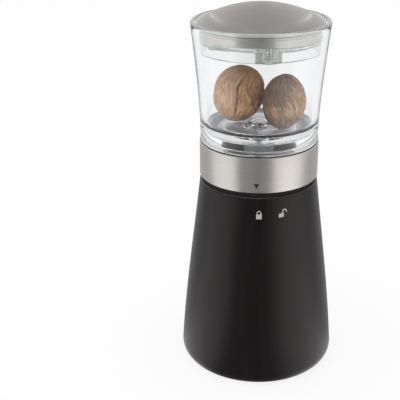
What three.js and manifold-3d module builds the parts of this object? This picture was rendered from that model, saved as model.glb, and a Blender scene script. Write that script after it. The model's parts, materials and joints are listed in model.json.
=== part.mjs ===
// Hand-turned nutmeg mill: a wooden body that is held still, and a clear reservoir on top that is turned.
// Millimetres, +Z up, origin on the table at the middle of the body's underside. The front faces -Y.

import * as THREE from "three";
import { mergeVertices } from "three/addons/utils/BufferGeometryUtils.js";
import Module from "manifold-3d";

const wasm = await Module();
wasm.setup();

// Clearances
const seatGap = 0.3; // between pieces that rest on each other
const turnGap = 0.4; // round a piece that turns or slides
const lockGap = 1; // degrees between a bayonet lug and its stop
const lidPlay = 0.1; // round the lid's plug where it fits closest in the reservoir
const panPlay = 0.4; // round the pan above it
const domePlay = 0.3; // round the dome's edge inside the rim

// Solid modelling
const past = 1; // how far a cut runs past the face that it leaves by
const overlap = 0.6; // how far two solids that are joined run into each other

// Heights of the outside, from the table up
const bodyHeight = 96;
const grooveHeight = 2.4; // dark groove between the wood and the steel band
const bandHeight = 17.1;
const reservoirHeight = 57.1; // from the band's top edge to the rim
const domeSink = 1.3; // the dome's edge lies this far below the rim
const domeRise = 8.7;
const bandBottom = bodyHeight + grooveHeight;
const bandTop = bandBottom + bandHeight;
const rimTop = bandTop + reservoirHeight;
const domeEdge = rimTop - domeSink;

// Wooden body: its side runs from the foot to the shoulder in one slow S curve
const footRadius = 38.4;
const footEdgeDepth = 4.1;
const footEdgeRise = 5.5;
const footLean = 0.066; // drop in radius per millimetre of height where the side starts
const shoulderRadius = 28.5;
const shoulderEdge = 0.6;
const shoulderLean = 0.115;
const sideHandle = 0.333; // of the side's height, for both ends of the curve

// Grater in the underside
const graterRecess = 1.5; // the ring's face above the table
const graterRingLand = 5.4; // from the plate's edge out to the ring's
const graterRingHeight = 5.2;
const outletRadius = 16;
const outletChamfer = 1.4;
const plateRim = 3.1; // of the plate outside the chamber's bore
const plateThickness = 0.8;
const toothSpacing = 6.2;
const toothRingCount = 2; // rings of holes round the middle one
const toothTwist = 7; // degrees from one ring to the next
const toothHoleRadius = 1.15;
const toothRise = 0.8;
const toothFoot = 0.8; // width of a tooth's rim where it leaves the plate
const toothEdge = 0.2; // and at its cutting edge
const graterScrewHeadRadius = 2;
const graterScrewHeadHeight = 1.5;
const graterScrewShankRadius = 1.1;
const graterScrewLength = 12.2;
const graterScrewCount = 3;

// Lining of the grinding chamber
const chamberRadius = 18.2;
const liningWall = 1;
const liningFlangeThickness = 1.4;

// Bayonet socket in the top of the body
const socketWood = 4; // of the body round the socket
const socketDepth = 11.7;
const socketFloor = 2;
const socketFlangeStep = 1.1; // from the body's shoulder in to the flange
const lipWall = 3.9; // of the socket where its lip is
const lipHeight = 4.6;
const undercutWall = 1.7; // of the socket behind the lugs
const lugCount = 3;
const lugHalfAngle = 9.5; // degrees
const lugHeight = 3.2;
const slotSlack = 2; // degrees on each side of a lug
const stopAngle = 5; // degrees
const unlockAngle = 23.5; // degrees from the closed mark to the open one

// Head: steel band on a black core
const bandWall = 0.8;
const coreHeight = 9.3;
const coreWeb = 4.2; // thickness of the core's roof over the chamber
const ledgeSink = 0.3; // of the core's ledge below the band's top edge
const hubWall = 2.1;
const hubDrop = 7.2; // the hub hangs this far below the roof
const spigotWall = 1.8;

// Drive tube and its bearing
const tubeRadius = 5.2;
const tubeRise = 2; // of the tube's end above the claw's hub when the claw is up
const tubeWeb = 2.3; // between the bore and the shoulder
const neckRadius = 3; // above the shoulder, inside the reservoir's boss
const bushWall = 1.7;
const bushFlangeStep = 0.6; // from the hub's side in to the flange
const bushFlangeThickness = 1.2;
const washerThickness = 0.8;
const washerWidth = 2.9;
const clipThickness = 1;
const clipWidth = 3.4;
const clipMouth = 70; // degrees
const grooveDepth = 0.9;
const seatThickness = 1.3;
const seatWidth = 2.7;
const seatRim = 0.7; // outside the spring
const topScrewHeadRadius = 3;
const topScrewHeadHeight = 1.5;
const topScrewShankRadius = 1.6;
const topScrewReach = 8; // of the screw's shank inside the tube

// Claw that presses the nutmeg on the grater
const prongRise = 1.9; // of the tips above the teeth
const prongCount = 3;
const prongRadius = 1.1;
const prongCircle = 7.2;
const prongPoint = 3;
const prongLength = 14.5;
const prongDepth = 3; // of the prong inside the hub
const prongTipShare = 0.15; // of the prong's radius
const clawHeight = 6;
const clawRim = 1.3; // outside the prongs
const clawTravel = 28;
const stemRadius = 2.5;
const stemRise = 16; // of the stem above the stop pin
const stemTipRadius = 1.5;
const clawNutAcross = 7;
const clawNutHeight = 2.2;
const stopPinRise = 4; // above the tube's end
const stopPinRadius = 0.8;

// Claw spring
const springWireRadius = 0.6;
const springTurns = 13;
const springSteps = 8; // per turn
const springSides = 5;

// Clear reservoir
const reservoirFootStep = 0.5; // from the band in to the reservoir's foot
const reservoirRimRadius = 32.3;
const wallStraight = 0.26; // share of the height over which the wall stays upright
const wallBend = 0.54; // share of the height where the flare sets in
const wallBendFlare = 0.3; // and of the flare that is reached there
const rimRounding = 1.3;
const rimWall = 2.5;
const footWall = 3.2;
const floorRise = 8; // above the band's top edge
const floorCorner = 4;
const bossTopWall = 1.9; // round the top screw's head
const bossTopRise = 1.2;
const floorUnderHead = 3.6; // between the top screw's head and the drive tube
const bossWall = 4;
const recessRadius = 17.5;
const recessRise = 3.9; // of the recess's roof above the band's top edge

// Lid
const domeWall = 0.8;
const domeFullness = 1.7; // exponents of the dome's curve, across and up
const domeCrown = 1.25;
const panHeight = 4.4;
const panWall = 0.7;
const lidSealThickness = 0.6;
const lidSealWidth = 2.4;
const plugHeight = 6.6;
const plugWall = 1.8;
const plugRoof = 1.8;
const plugBossRadius = 5.7;
const plugBossSink = 0.9; // of a boss into the plug's wall
const plugBossDrop = 0.5; // of a boss below the plug's wall
const lidStudWall = 1.2;
const lidScrewCount = 3;
const lidScrewTurn = 69.4; // degrees from the back to the first screw
const lidScrewHeadRadius = 1.9;
const lidScrewHeadHeight = 1.2;
const lidScrewShankRadius = 1.5;
const lidScrewReach = 2.8;

// Nutmegs in the reservoir: place, size, lean about Y and turn about Z in degrees, and lift above the floor
const leftNutmeg = { x: -9.7, y: 0.6, radius: 12.5, halfLength: 13.2, lean: 12, turn: 20, lift: 0.6 };
const rightNutmeg = { x: 10.9, y: -9.2, radius: 9.9, halfLength: 13, lean: -6, turn: 75, lift: 0 };
const furrowCount = 3;
const furrowShare = 0.033; // of the radius
const furrowPhase = 0.6; // radians
const eggShare = 0.05; // growth in radius at the lower end

// Screws: shares of the head's height and radius, and of the shank's radius at the tip
const screwRimShare = 0.35;
const screwSlotLengthShare = 1.5;
const screwSlotWidthShare = 0.3;
const screwSlotDepthShare = 0.6;
const screwTipShare = 0.3;

// Fineness of the turned pieces
const shellSegments = 40;
const innerSegments = 32;
const smallSegments = 16;
const tinySegments = 8;
const sideSteps = 8; // along the curved sides of the body and the reservoir
const domeSteps = 7;
const sectorStep = 12; // degrees
const fullTurn = 360; // degrees

// Radii that follow from the sizes above
const bandRadius = shoulderRadius;
const plateRadius = chamberRadius + plateRim;
const graterRingRadius = plateRadius + graterRingLand;
const graterScrewCircle = (plateRadius + seatGap + graterRingRadius) / 2;
const liningRadius = chamberRadius + liningWall;
const socketRadius = shoulderRadius - socketWood;
const socketFlangeRadius = shoulderRadius - socketFlangeStep;
const socketFloorRadius = chamberRadius + turnGap;
const lipRadius = socketRadius - lipWall;
const undercutRadius = socketRadius - undercutWall;
const spigotOuter = lipRadius - turnGap;
const spigotInner = spigotOuter - spigotWall;
const coreRadius = bandRadius - bandWall - seatGap;
const bearingBore = tubeRadius + seatGap;
const bushRadius = bearingBore + bushWall;
const hubBoreRadius = bushRadius + seatGap;
const hubRadius = hubBoreRadius + hubWall;
const bushFlangeRadius = hubRadius - bushFlangeStep;
const washerRadius = bearingBore + washerWidth;
const clipInner = tubeRadius - grooveDepth + seatGap;
const clipRadius = clipInner + clipWidth;
const seatRadius = bearingBore + seatWidth;
const springCoilRadius = seatRadius - seatRim - springWireRadius;
const tubeBoreRadius = stemRadius + turnGap;
const clawRadius = prongCircle + prongRadius + clawRim;
const neckBore = neckRadius + seatGap;
const bossRadius = neckBore + bossWall;
const bossTopRadius = topScrewHeadRadius + seatGap + bossTopWall;
const reservoirFootRadius = bandRadius - reservoirFootStep;
const domeRadius = reservoirRimRadius - rimWall - domePlay;
const lidStudRadius = lidScrewShankRadius + seatGap + lidStudWall;

// Levels that follow from the sizes above
const ringTop = graterRecess + graterRingHeight;
const plateBottom = ringTop + seatGap;
const plateTop = plateBottom + plateThickness;
const liningBottom = plateTop + seatGap;
const liningFlangeTop = liningBottom + liningFlangeThickness;
const socketBottom = bodyHeight - socketDepth;
const liningTop = socketBottom - seatGap;
const socketFlangeBottom = bodyHeight + seatGap;
const socketTop = bandBottom - seatGap;
const lipBottom = socketTop - lipHeight;
const socketFloorTop = socketBottom + socketFloor;
const spigotBottom = socketFloorTop + seatGap;
const coreTop = bandBottom + coreHeight;
const coreRoof = coreTop - coreWeb;
const hubBottom = coreRoof - hubDrop;
const bushTop = coreTop;
const bushFlangeTop = hubBottom - seatGap;
const bushBottom = bushFlangeTop - bushFlangeThickness;
const clipTop = bushBottom - seatGap;
const clipBottom = clipTop - clipThickness;
const seatTop = clipBottom - seatGap;
const seatBottom = seatTop - seatThickness;
const washerBottom = coreTop + seatGap;
const washerTop = washerBottom + washerThickness;
const bossBottom = washerTop + seatGap;
const floorLevel = bandTop + floorRise;
const bossTop = floorLevel + bossTopRise;
const topScrewHeadBottom = bossTop - topScrewHeadHeight;
const tubeTop = topScrewHeadBottom - floorUnderHead;
const threadBottom = tubeTop - topScrewReach - seatGap;
const shoulderTop = washerTop;
const tubeBoreTop = shoulderTop - tubeWeb;
const ledgeTop = bandTop - ledgeSink;
const recessRoof = bandTop + recessRise;
const prongBottom = plateTop + toothRise + prongRise;
const prongTop = prongBottom + prongLength;
const clawBottom = prongTop - prongDepth;
const clawTop = clawBottom + clawHeight;
const tubeBottom = clawTop + clawTravel + tubeRise;
const stopPinLevel = tubeBottom + stopPinRise;
const stemTop = stopPinLevel + stemRise;
const springBottom = clawTop + seatGap;
const springTop = seatBottom - seatGap;
const reservoirBottom = bandTop + seatGap;
const panTop = domeEdge - lidSealThickness - seatGap;
const panBottom = panTop - panHeight;
const plugTop = panBottom - seatGap;
const plugBottom = plugTop - plugHeight;
const sealBottom = panTop + seatGap / 2;
const sealTop = sealBottom + lidSealThickness;

// The lid's radii follow from the reservoir's inside at their lower edges
const panRadius = insideRadius(panBottom) - panPlay;
const plugRadius = insideRadius(plugBottom) - lidPlay;
const lidScrewCircle = plugRadius - plugWall - plugBossRadius + plugBossSink;
const lidScrewBottom = plugBottom - plugBossDrop;

// Materials

function finish(colour, roughness, metalness, opacity = 1) {
  const transparent = opacity < 1;
  return new THREE.MeshStandardMaterial({ color: colour, roughness, metalness, opacity, transparent });
}

const blackWood = finish(0x2a2624, 0.45, 0);
const brushedSteel = finish(0xb8b2ad, 0.35, 1);
const polishedSteel = finish(0xc8c8c6, 0.2, 1);
const springSteel = finish(0x9a9a98, 0.3, 1);
const brass = finish(0xb59a55, 0.35, 1);
const blackPlastic = finish(0x161616, 0.5, 0);
const clearAcrylic = finish(0xf2f6f6, 0.05, 0, 0.35);
const blackRubber = finish(0x101010, 0.8, 0);
const palePlastic = finish(0xe8e4da, 0.5, 0);
const nutShell = finish(0x9a7355, 0.8, 0);

// Solids

const radians = THREE.MathUtils.degToRad;

function solid(geometry) {
  const bare = geometry.clone();
  bare.deleteAttribute("normal");
  bare.deleteAttribute("uv");
  const merged = mergeVertices(bare, 1e-4);
  const vertProperties = new Float32Array(merged.attributes.position.array);
  const triVerts = new Uint32Array(merged.index.array);
  return new wasm.Manifold(new wasm.Mesh({ numProp: 3, vertProperties, triVerts }));
}

function geometryOf(body) {
  const mesh = body.getMesh();
  const geometry = new THREE.BufferGeometry();
  geometry.setAttribute("position", new THREE.BufferAttribute(mesh.vertProperties, 3));
  geometry.setIndex(new THREE.BufferAttribute(mesh.triVerts, 1));
  return geometry;
}

// A profile lists [radius, height], anticlockwise as seen with the radius to the right.
function turned(profile, segments) {
  const points = profile.map(([radius, height]) => new THREE.Vector2(radius, height));
  return new THREE.LatheGeometry(points, segments).rotateX(Math.PI / 2);
}

function ring(inner, outer, bottom, top, segments = innerSegments) {
  const profile = [[inner, bottom], [outer, bottom], [outer, top], [inner, top], [inner, bottom]];
  return turned(profile, segments);
}

function disc(radius, bottom, top, segments = smallSegments) {
  return turned([[0, bottom], [radius, bottom], [radius, top], [0, top]], segments);
}

// Part of a ring between two angles in degrees, counted from +X towards +Y.
function sector(inner, outer, bottom, top, from, to) {
  const shape = new THREE.Shape();
  shape.absarc(0, 0, outer, radians(from), radians(to), false);
  shape.absarc(0, 0, inner, radians(to), radians(from), true);
  const steps = Math.max(2, Math.ceil((to - from) / sectorStep));
  const geometry = new THREE.ExtrudeGeometry(shape, {
    depth: top - bottom,
    bevelEnabled: false,
    curveSegments: steps,
  });
  return geometry.translate(0, 0, bottom);
}

function moved(geometry, x, y, z = 0) {
  return geometry.clone().translate(x, y, z);
}

function polar(radius, degrees) {
  return [radius * Math.cos(radians(degrees)), radius * Math.sin(radians(degrees))];
}

// Angle of copy number index out of count, with the first one at the back.
function spread(index, count) {
  return fullTurn / 4 + (fullTurn * index) / count;
}

function piece(parent, name, geometry, material) {
  const mesh = new THREE.Mesh(geometry, material);
  mesh.name = name;
  parent.add(mesh);
  return mesh;
}

function screw(headRadius, headHeight, shankRadius, length) {
  const profile = [
    [0, 0],
    [headRadius, 0],
    [headRadius, headHeight * screwRimShare],
    [shankRadius, headHeight],
    [shankRadius, length - shankRadius],
    [shankRadius * screwTipShare, length],
    [0, length],
  ];
  const slot = new THREE.BoxGeometry(
    headRadius * screwSlotLengthShare,
    headRadius * screwSlotWidthShare,
    headHeight * screwSlotDepthShare,
  );
  return geometryOf(solid(turned(profile, tinySegments)).subtract(solid(slot)));
}

// Wooden body

function bodySide() {
  const low = new THREE.Vector2(footRadius, footEdgeRise);
  const high = new THREE.Vector2(shoulderRadius, bodyHeight - shoulderEdge);
  const handle = (high.y - low.y) * sideHandle;
  const lowHandle = new THREE.Vector2(low.x - handle * footLean, low.y + handle);
  const highHandle = new THREE.Vector2(high.x + handle * shoulderLean, high.y - handle);
  return new THREE.CubicBezierCurve(low, lowHandle, highHandle, high).getPoints(sideSteps);
}

function footEdge() {
  const middle = footRadius - footEdgeDepth;
  const arc = new THREE.EllipseCurve(middle, footEdgeRise, footEdgeDepth, footEdgeRise, -Math.PI / 2, 0);
  return arc.getPoints(4).slice(0, -1);
}

function woodenBody() {
  const pocket = graterRingRadius + seatGap;
  const pocketTop = ringTop + seatGap;
  const plateBore = plateRadius + seatGap;
  const plateBoreTop = liningFlangeTop + seatGap;
  const liningBore = liningRadius + seatGap;
  const socketBore = socketRadius + seatGap;
  const outside = [...footEdge(), ...bodySide()].map((point) => [point.x, point.y]);
  const profile = [
    [pocket, 0],
    ...outside,
    [shoulderRadius - shoulderEdge, bodyHeight],
    [socketBore, bodyHeight],
    [socketBore, socketBottom - seatGap],
    [liningBore, socketBottom - seatGap],
    [liningBore, plateBoreTop],
    [plateBore, plateBoreTop],
    [plateBore, pocketTop],
    [pocket, pocketTop],
    [pocket, 0],
  ];
  let body = solid(turned(profile, shellSegments));
  const holeTop = graterRecess + graterScrewLength + 2 * seatGap;
  const pilot = disc(graterScrewShankRadius + seatGap, pocketTop - past, holeTop, tinySegments);
  for (let index = 0; index < graterScrewCount; index++) {
    const [x, y] = polar(graterScrewCircle, spread(index, graterScrewCount));
    body = body.subtract(solid(moved(pilot, x, y)));
  }
  return geometryOf(body);
}

// Grater

function graterRing() {
  const profile = [
    [outletRadius + outletChamfer, graterRecess],
    [graterRingRadius, graterRecess],
    [graterRingRadius, ringTop],
    [outletRadius, ringTop],
    [outletRadius, graterRecess + outletChamfer],
    [outletRadius + outletChamfer, graterRecess],
  ];
  let body = solid(turned(profile, shellSegments));
  const sink = graterScrewHeadHeight + 2 * seatGap;
  const sunk = graterRecess + sink;
  const head = disc(graterScrewHeadRadius + seatGap, graterRecess - past, sunk, tinySegments);
  const shank = disc(graterScrewShankRadius + seatGap, graterRecess, ringTop + past, tinySegments);
  for (let index = 0; index < graterScrewCount; index++) {
    const [x, y] = polar(graterScrewCircle, spread(index, graterScrewCount));
    body = body.subtract(solid(moved(head, x, y))).subtract(solid(moved(shank, x, y)));
  }
  return geometryOf(body);
}

// One hole in the middle, then rings of 6, 12 and so on round it.
function toothPlaces() {
  const places = [[0, 0]];
  for (let circle = 1; circle <= toothRingCount; circle++) {
    for (let index = 0; index < 6 * circle; index++) {
      const angle = (fullTurn * index) / (6 * circle) + toothTwist * circle;
      places.push(polar(toothSpacing * circle, angle));
    }
  }
  return places;
}

function graterPlate() {
  let body = solid(disc(plateRadius, plateBottom, plateTop, innerSegments));
  const hole = disc(toothHoleRadius, plateBottom - past, plateTop + toothRise + past, 6);
  const tooth = turned([
    [0, plateBottom + plateThickness / 2],
    [toothHoleRadius + toothFoot, plateBottom + plateThickness / 2],
    [toothHoleRadius + toothFoot, plateTop],
    [toothHoleRadius + toothEdge, plateTop + toothRise],
    [0, plateTop + toothRise],
  ], 6);
  for (const [x, y] of toothPlaces()) {
    body = body.add(solid(moved(tooth, x, y)));
  }
  for (const [x, y] of toothPlaces()) {
    body = body.subtract(solid(moved(hole, x, y)));
  }
  return geometryOf(body);
}

function chamberLining() {
  const profile = [
    [chamberRadius, liningBottom],
    [plateRadius, liningBottom],
    [plateRadius, liningFlangeTop],
    [liningRadius, liningFlangeTop],
    [liningRadius, liningTop],
    [chamberRadius, liningTop],
    [chamberRadius, liningBottom],
  ];
  return turned(profile, innerSegments);
}

// Bayonet socket

function bayonetSocket() {
  const profile = [
    [socketFloorRadius, socketBottom],
    [socketRadius, socketBottom],
    [socketRadius, socketFlangeBottom],
    [socketFlangeRadius, socketFlangeBottom],
    [socketFlangeRadius, socketTop],
    [lipRadius, socketTop],
    [lipRadius, lipBottom],
    [undercutRadius, lipBottom],
    [undercutRadius, socketFloorTop],
    [socketFloorRadius, socketFloorTop],
    [socketFloorRadius, socketBottom],
  ];
  let body = solid(turned(profile, shellSegments));
  const slotHalf = lugHalfAngle + slotSlack;
  for (let index = 0; index < lugCount; index++) {
    const closed = spread(index, lugCount);
    const open = closed + unlockAngle;
    const low = closed - lugHalfAngle - lockGap;
    const high = open + lugHalfAngle + lockGap;
    const slot = sector(
      lipRadius - past,
      undercutRadius,
      lipBottom,
      socketTop + past,
      open - slotHalf,
      open + slotHalf,
    );
    body = body.subtract(solid(slot));
    for (const from of [low - stopAngle, high]) {
      const stop = sector(
        lipRadius,
        undercutRadius + overlap,
        socketFloorTop - overlap,
        lipBottom + overlap,
        from,
        from + stopAngle,
      );
      body = body.add(solid(stop));
    }
  }
  return geometryOf(body);
}

// Head

function headCore() {
  const profile = [
    [spigotInner, spigotBottom],
    [spigotOuter, spigotBottom],
    [spigotOuter, bandBottom],
    [coreRadius, bandBottom],
    [coreRadius, ledgeTop],
    [recessRadius, ledgeTop],
    [recessRadius, coreTop],
    [hubBoreRadius, coreTop],
    [hubBoreRadius, hubBottom],
    [hubRadius, hubBottom],
    [hubRadius, coreRoof],
    [spigotInner, coreRoof],
    [spigotInner, spigotBottom],
  ];
  let body = solid(turned(profile, shellSegments));
  const lugTop = lipBottom - seatGap;
  for (let index = 0; index < lugCount; index++) {
    const middle = spread(index, lugCount);
    const from = middle - lugHalfAngle;
    const to = middle + lugHalfAngle;
    const lug = sector(
      spigotOuter - overlap,
      undercutRadius - turnGap,
      lugTop - lugHeight,
      lugTop,
      from,
      to,
    );
    body = body.add(solid(lug));
  }
  return geometryOf(body);
}

function bearingBush() {
  const profile = [
    [bearingBore, bushBottom],
    [bushFlangeRadius, bushBottom],
    [bushFlangeRadius, bushFlangeTop],
    [bushRadius, bushFlangeTop],
    [bushRadius, bushTop],
    [bearingBore, bushTop],
    [bearingBore, bushBottom],
  ];
  return turned(profile, innerSegments);
}

// Drive

function driveTube() {
  const clipGroove = tubeRadius - grooveDepth;
  const profile = [
    [tubeBoreRadius, tubeBottom],
    [tubeRadius, tubeBottom],
    [tubeRadius, clipBottom - seatGap],
    [clipGroove, clipBottom - seatGap],
    [clipGroove, clipTop + seatGap],
    [tubeRadius, clipTop + seatGap],
    [tubeRadius, shoulderTop],
    [neckRadius, shoulderTop],
    [neckRadius, tubeTop],
    [topScrewShankRadius + seatGap, tubeTop],
    [topScrewShankRadius + seatGap, threadBottom],
    [0, threadBottom],
  ];
  const bore = [[0, tubeBoreTop], [tubeBoreRadius, tubeBoreTop], [tubeBoreRadius, tubeBottom]];
  const body = solid(turned([...bore, ...profile.slice(1)], smallSegments));
  const pinHole = new THREE.CylinderGeometry(
    stopPinRadius + seatGap,
    stopPinRadius + seatGap,
    2 * (tubeRadius + past),
    tinySegments,
  ).translate(0, 0, stopPinLevel);
  return geometryOf(body.subtract(solid(pinHole)));
}

function stopPin() {
  const length = 2 * tubeRadius - 2 * seatGap;
  return new THREE.CylinderGeometry(stopPinRadius, stopPinRadius, length, tinySegments)
    .translate(0, 0, stopPinLevel);
}

function clip() {
  const half = clipMouth / 2;
  return sector(clipInner, clipRadius, clipBottom, clipTop, half, fullTurn - half);
}

function reservoirWall() {
  const low = new THREE.Vector2(reservoirFootRadius, reservoirBottom);
  const high = new THREE.Vector2(reservoirRimRadius, rimTop - rimRounding);
  const height = high.y - low.y;
  const flare = high.x - low.x;
  const lowHandle = new THREE.Vector2(low.x, low.y + height * wallStraight);
  const highHandle = new THREE.Vector2(low.x + flare * wallBendFlare, low.y + height * wallBend);
  return new THREE.CubicBezierCurve(low, lowHandle, highHandle, high);
}

// The inside follows the outside, with the wall growing from the rim down to the floor.
function reservoirInside() {
  const outside = reservoirWall().getPoints(sideSteps);
  const high = outside.at(-1);
  const points = [];
  for (const point of outside.reverse()) {
    const share = (high.y - point.y) / (high.y - floorLevel);
    if (share < 1 - floorCorner / (high.y - floorLevel)) {
      points.push([point.x - rimWall - (footWall - rimWall) * share, point.y]);
    }
  }
  return points;
}

// Radius of the reservoir's inside at a height, between the points of its profile.
function insideRadius(height) {
  const points = reservoirInside();
  const above = points.findLastIndex((point) => point[1] >= height);
  const [highRadius, high] = points[above];
  const [lowRadius, low] = points[above + 1];
  return lowRadius + ((highRadius - lowRadius) * (height - low)) / (high - low);
}

function reservoir() {
  const outside = reservoirWall().getPoints(sideSteps).map((point) => [point.x, point.y]);
  const inside = reservoirInside();
  const rim = new THREE.EllipseCurve(
    reservoirRimRadius - rimWall / 2,
    rimTop - rimRounding,
    rimWall / 2,
    rimRounding,
    0,
    Math.PI,
  );
  const floorRadius = inside.at(-1)[0];
  const corner = new THREE.EllipseCurve(
    floorRadius - floorCorner,
    floorLevel + floorCorner,
    floorCorner,
    floorCorner,
    0,
    -Math.PI / 2,
    true,
  );
  const profile = [
    [neckBore, bossBottom],
    [bossRadius, bossBottom],
    [bossRadius, recessRoof],
    [recessRadius, recessRoof],
    [recessRadius, reservoirBottom],
    ...outside.slice(0, -1),
    ...rim.getPoints(4).map((point) => [point.x, point.y]),
    ...inside.slice(1),
    ...corner.getPoints(3).map((point) => [point.x, point.y]),
    [bossTopRadius + bossTopRise, floorLevel],
    [bossTopRadius, bossTop],
    [topScrewHeadRadius + seatGap, bossTop],
    [topScrewHeadRadius + seatGap, topScrewHeadBottom - seatGap],
    [topScrewShankRadius + seatGap, topScrewHeadBottom - seatGap],
    [topScrewShankRadius + seatGap, tubeTop + seatGap],
    [neckBore, tubeTop + seatGap],
    [neckBore, bossBottom],
  ];
  return turned(profile, shellSegments);
}

function topScrew() {
  const reach = bossTop - tubeTop + topScrewReach;
  return screw(topScrewHeadRadius, topScrewHeadHeight, topScrewShankRadius, reach)
    .rotateX(Math.PI)
    .translate(0, 0, bossTop);
}

// Claw

function clawStem() {
  const low = clawBottom - clawNutHeight - seatGap;
  const profile = [
    [0, low],
    [stemTipRadius, low],
    [stemTipRadius, clawBottom + clawHeight / 2],
    [stemRadius, clawBottom + clawHeight / 2],
    [stemRadius, stemTop],
    [0, stemTop],
  ];
  const slotTop = stopPinLevel + stopPinRadius + seatGap;
  const slotBottom = stopPinLevel - stopPinRadius - clawTravel - seatGap;
  const slotWidth = 2 * (stopPinRadius + seatGap);
  const slot = new THREE.BoxGeometry(slotWidth, 4 * stemRadius, slotTop - slotBottom)
    .translate(0, 0, (slotTop + slotBottom) / 2);
  return geometryOf(solid(turned(profile, smallSegments)).subtract(solid(slot)));
}

function clawHub() {
  const profile = [
    [stemTipRadius + seatGap, clawBottom],
    [clawRadius, clawBottom],
    [clawRadius, clawTop],
    [stemRadius + seatGap, clawTop],
    [stemRadius + seatGap, clawBottom + clawHeight / 2 - seatGap],
    [stemTipRadius + seatGap, clawBottom + clawHeight / 2 - seatGap],
    [stemTipRadius + seatGap, clawBottom],
  ];
  let body = solid(turned(profile, innerSegments));
  const hole = disc(prongRadius + seatGap, clawBottom - past, prongTop + seatGap, tinySegments);
  for (let index = 0; index < prongCount; index++) {
    const [x, y] = polar(prongCircle, spread(index, prongCount));
    body = body.subtract(solid(moved(hole, x, y)));
  }
  return geometryOf(body);
}

function prong() {
  const profile = [
    [0, prongBottom],
    [prongRadius * prongTipShare, prongBottom],
    [prongRadius, prongBottom + prongPoint],
    [prongRadius, prongTop],
    [0, prongTop],
  ];
  return turned(profile, tinySegments);
}

function clawNut() {
  const high = clawBottom - seatGap;
  const low = high - clawNutHeight;
  const corner = clawNutAcross / 2 / Math.cos(Math.PI / 6);
  const outer = disc(corner, low, high, 6);
  const hole = disc(stemTipRadius + seatGap, low - past, high + past, tinySegments);
  return geometryOf(solid(outer).subtract(solid(hole)));
}

class Helix extends THREE.Curve {
  constructor(radius, bottom, top, turns) {
    super();
    this.radius = radius;
    this.bottom = bottom;
    this.rise = top - bottom;
    this.turns = turns;
  }

  getPoint(share, target = new THREE.Vector3()) {
    const angle = 2 * Math.PI * this.turns * share;
    const height = this.bottom + this.rise * share;
    return target.set(this.radius * Math.cos(angle), this.radius * Math.sin(angle), height);
  }
}

// Least distance between points of the wire's centre line that lie half a turn or more apart,
// less the wire's thickness.
function selfGap(curve, turns, thickness) {
  const perTurn = 40;
  const points = curve.getPoints(perTurn * turns);
  let least = Infinity;
  points.forEach((point, index) => {
    for (let other = index + perTurn / 2; other < points.length; other++) {
      least = Math.min(least, point.distanceTo(points[other]));
    }
  });
  return least - thickness;
}

// The wire is one unbroken tube of rings across the curve, closed by a fan at each end.
function wire(curve, steps, sides, radius) {
  const positions = [];
  const index = [];
  const point = new THREE.Vector3();
  const tangent = new THREE.Vector3();
  const outward = new THREE.Vector3();
  const across = new THREE.Vector3();
  for (let step = 0; step <= steps; step++) {
    const share = step / steps;
    curve.getPoint(share, point);
    curve.getTangent(share, tangent);
    outward.set(point.x, point.y, 0).normalize();
    across.crossVectors(tangent, outward).normalize();
    outward.crossVectors(across, tangent).normalize();
    for (let side = 0; side < sides; side++) {
      const angle = (2 * Math.PI * side) / sides;
      positions.push(
        point.x + radius * (outward.x * Math.cos(angle) + across.x * Math.sin(angle)),
        point.y + radius * (outward.y * Math.cos(angle) + across.y * Math.sin(angle)),
        point.z + radius * (outward.z * Math.cos(angle) + across.z * Math.sin(angle)),
      );
    }
  }
  for (let step = 0; step < steps; step++) {
    for (let side = 0; side < sides; side++) {
      const here = step * sides + side;
      const beside = step * sides + ((side + 1) % sides);
      index.push(here, beside, here + sides, beside, beside + sides, here + sides);
    }
  }
  const last = steps * sides;
  for (let side = 1; side < sides - 1; side++) {
    index.push(0, side + 1, side, last, last + side, last + side + 1);
  }
  const geometry = new THREE.BufferGeometry();
  geometry.setAttribute("position", new THREE.Float32BufferAttribute(positions, 3));
  geometry.setIndex(index);
  return geometry;
}

function clawSpring() {
  const curve = new Helix(
    springCoilRadius,
    springBottom + springWireRadius,
    springTop - springWireRadius,
    springTurns,
  );
  const gap = selfGap(curve, springTurns, 2 * springWireRadius);
  console.log(`claw spring: ${springTurns} curls, least gap to itself ${gap.toFixed(2)} mm`);
  return wire(curve, springTurns * springSteps, springSides, springWireRadius);
}

// Lid

function domePoint(radius, edge, rise, share) {
  const angle = (Math.PI / 2) * share;
  const across = Math.pow(Math.max(Math.cos(angle), 0), 2 / domeFullness);
  const up = Math.pow(Math.sin(angle), 2 / domeCrown);
  return [share === 1 ? 0 : radius * across, edge + rise * up];
}

// Places of the screws that hold the plug, the pan and the dome together.
function lidScrewPlaces() {
  const places = [];
  for (let index = 0; index < lidScrewCount; index++) {
    places.push(polar(lidScrewCircle, spread(index, lidScrewCount) + lidScrewTurn));
  }
  return places;
}

function lidDome() {
  const outside = [];
  const inside = [];
  for (let step = 0; step <= domeSteps; step++) {
    const share = step / domeSteps;
    outside.push(domePoint(domeRadius, domeEdge, domeRise, share));
    inside.unshift(domePoint(domeRadius - domeWall, domeEdge, domeRise - domeWall, share));
  }
  const studBottom = panTop + seatGap;
  const holeTop = studBottom + lidScrewReach + seatGap;
  const hole = disc(lidScrewShankRadius + seatGap, studBottom - past, holeTop, tinySegments);
  const stud = disc(lidStudRadius, studBottom, domeEdge + domeRise, smallSegments);
  const under = [[0, studBottom - past], [domeRadius, studBottom - past], ...outside];
  const room = solid(turned(under, shellSegments));
  let body = solid(turned([...inside, ...outside], shellSegments));
  for (const [x, y] of lidScrewPlaces()) {
    body = body.add(room.intersect(solid(moved(stud, x, y)))).subtract(solid(moved(hole, x, y)));
  }
  return geometryOf(body);
}

function lidSeal() {
  const outer = panRadius - seatGap;
  return ring(outer - lidSealWidth, outer, sealBottom, sealTop, shellSegments);
}

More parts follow.
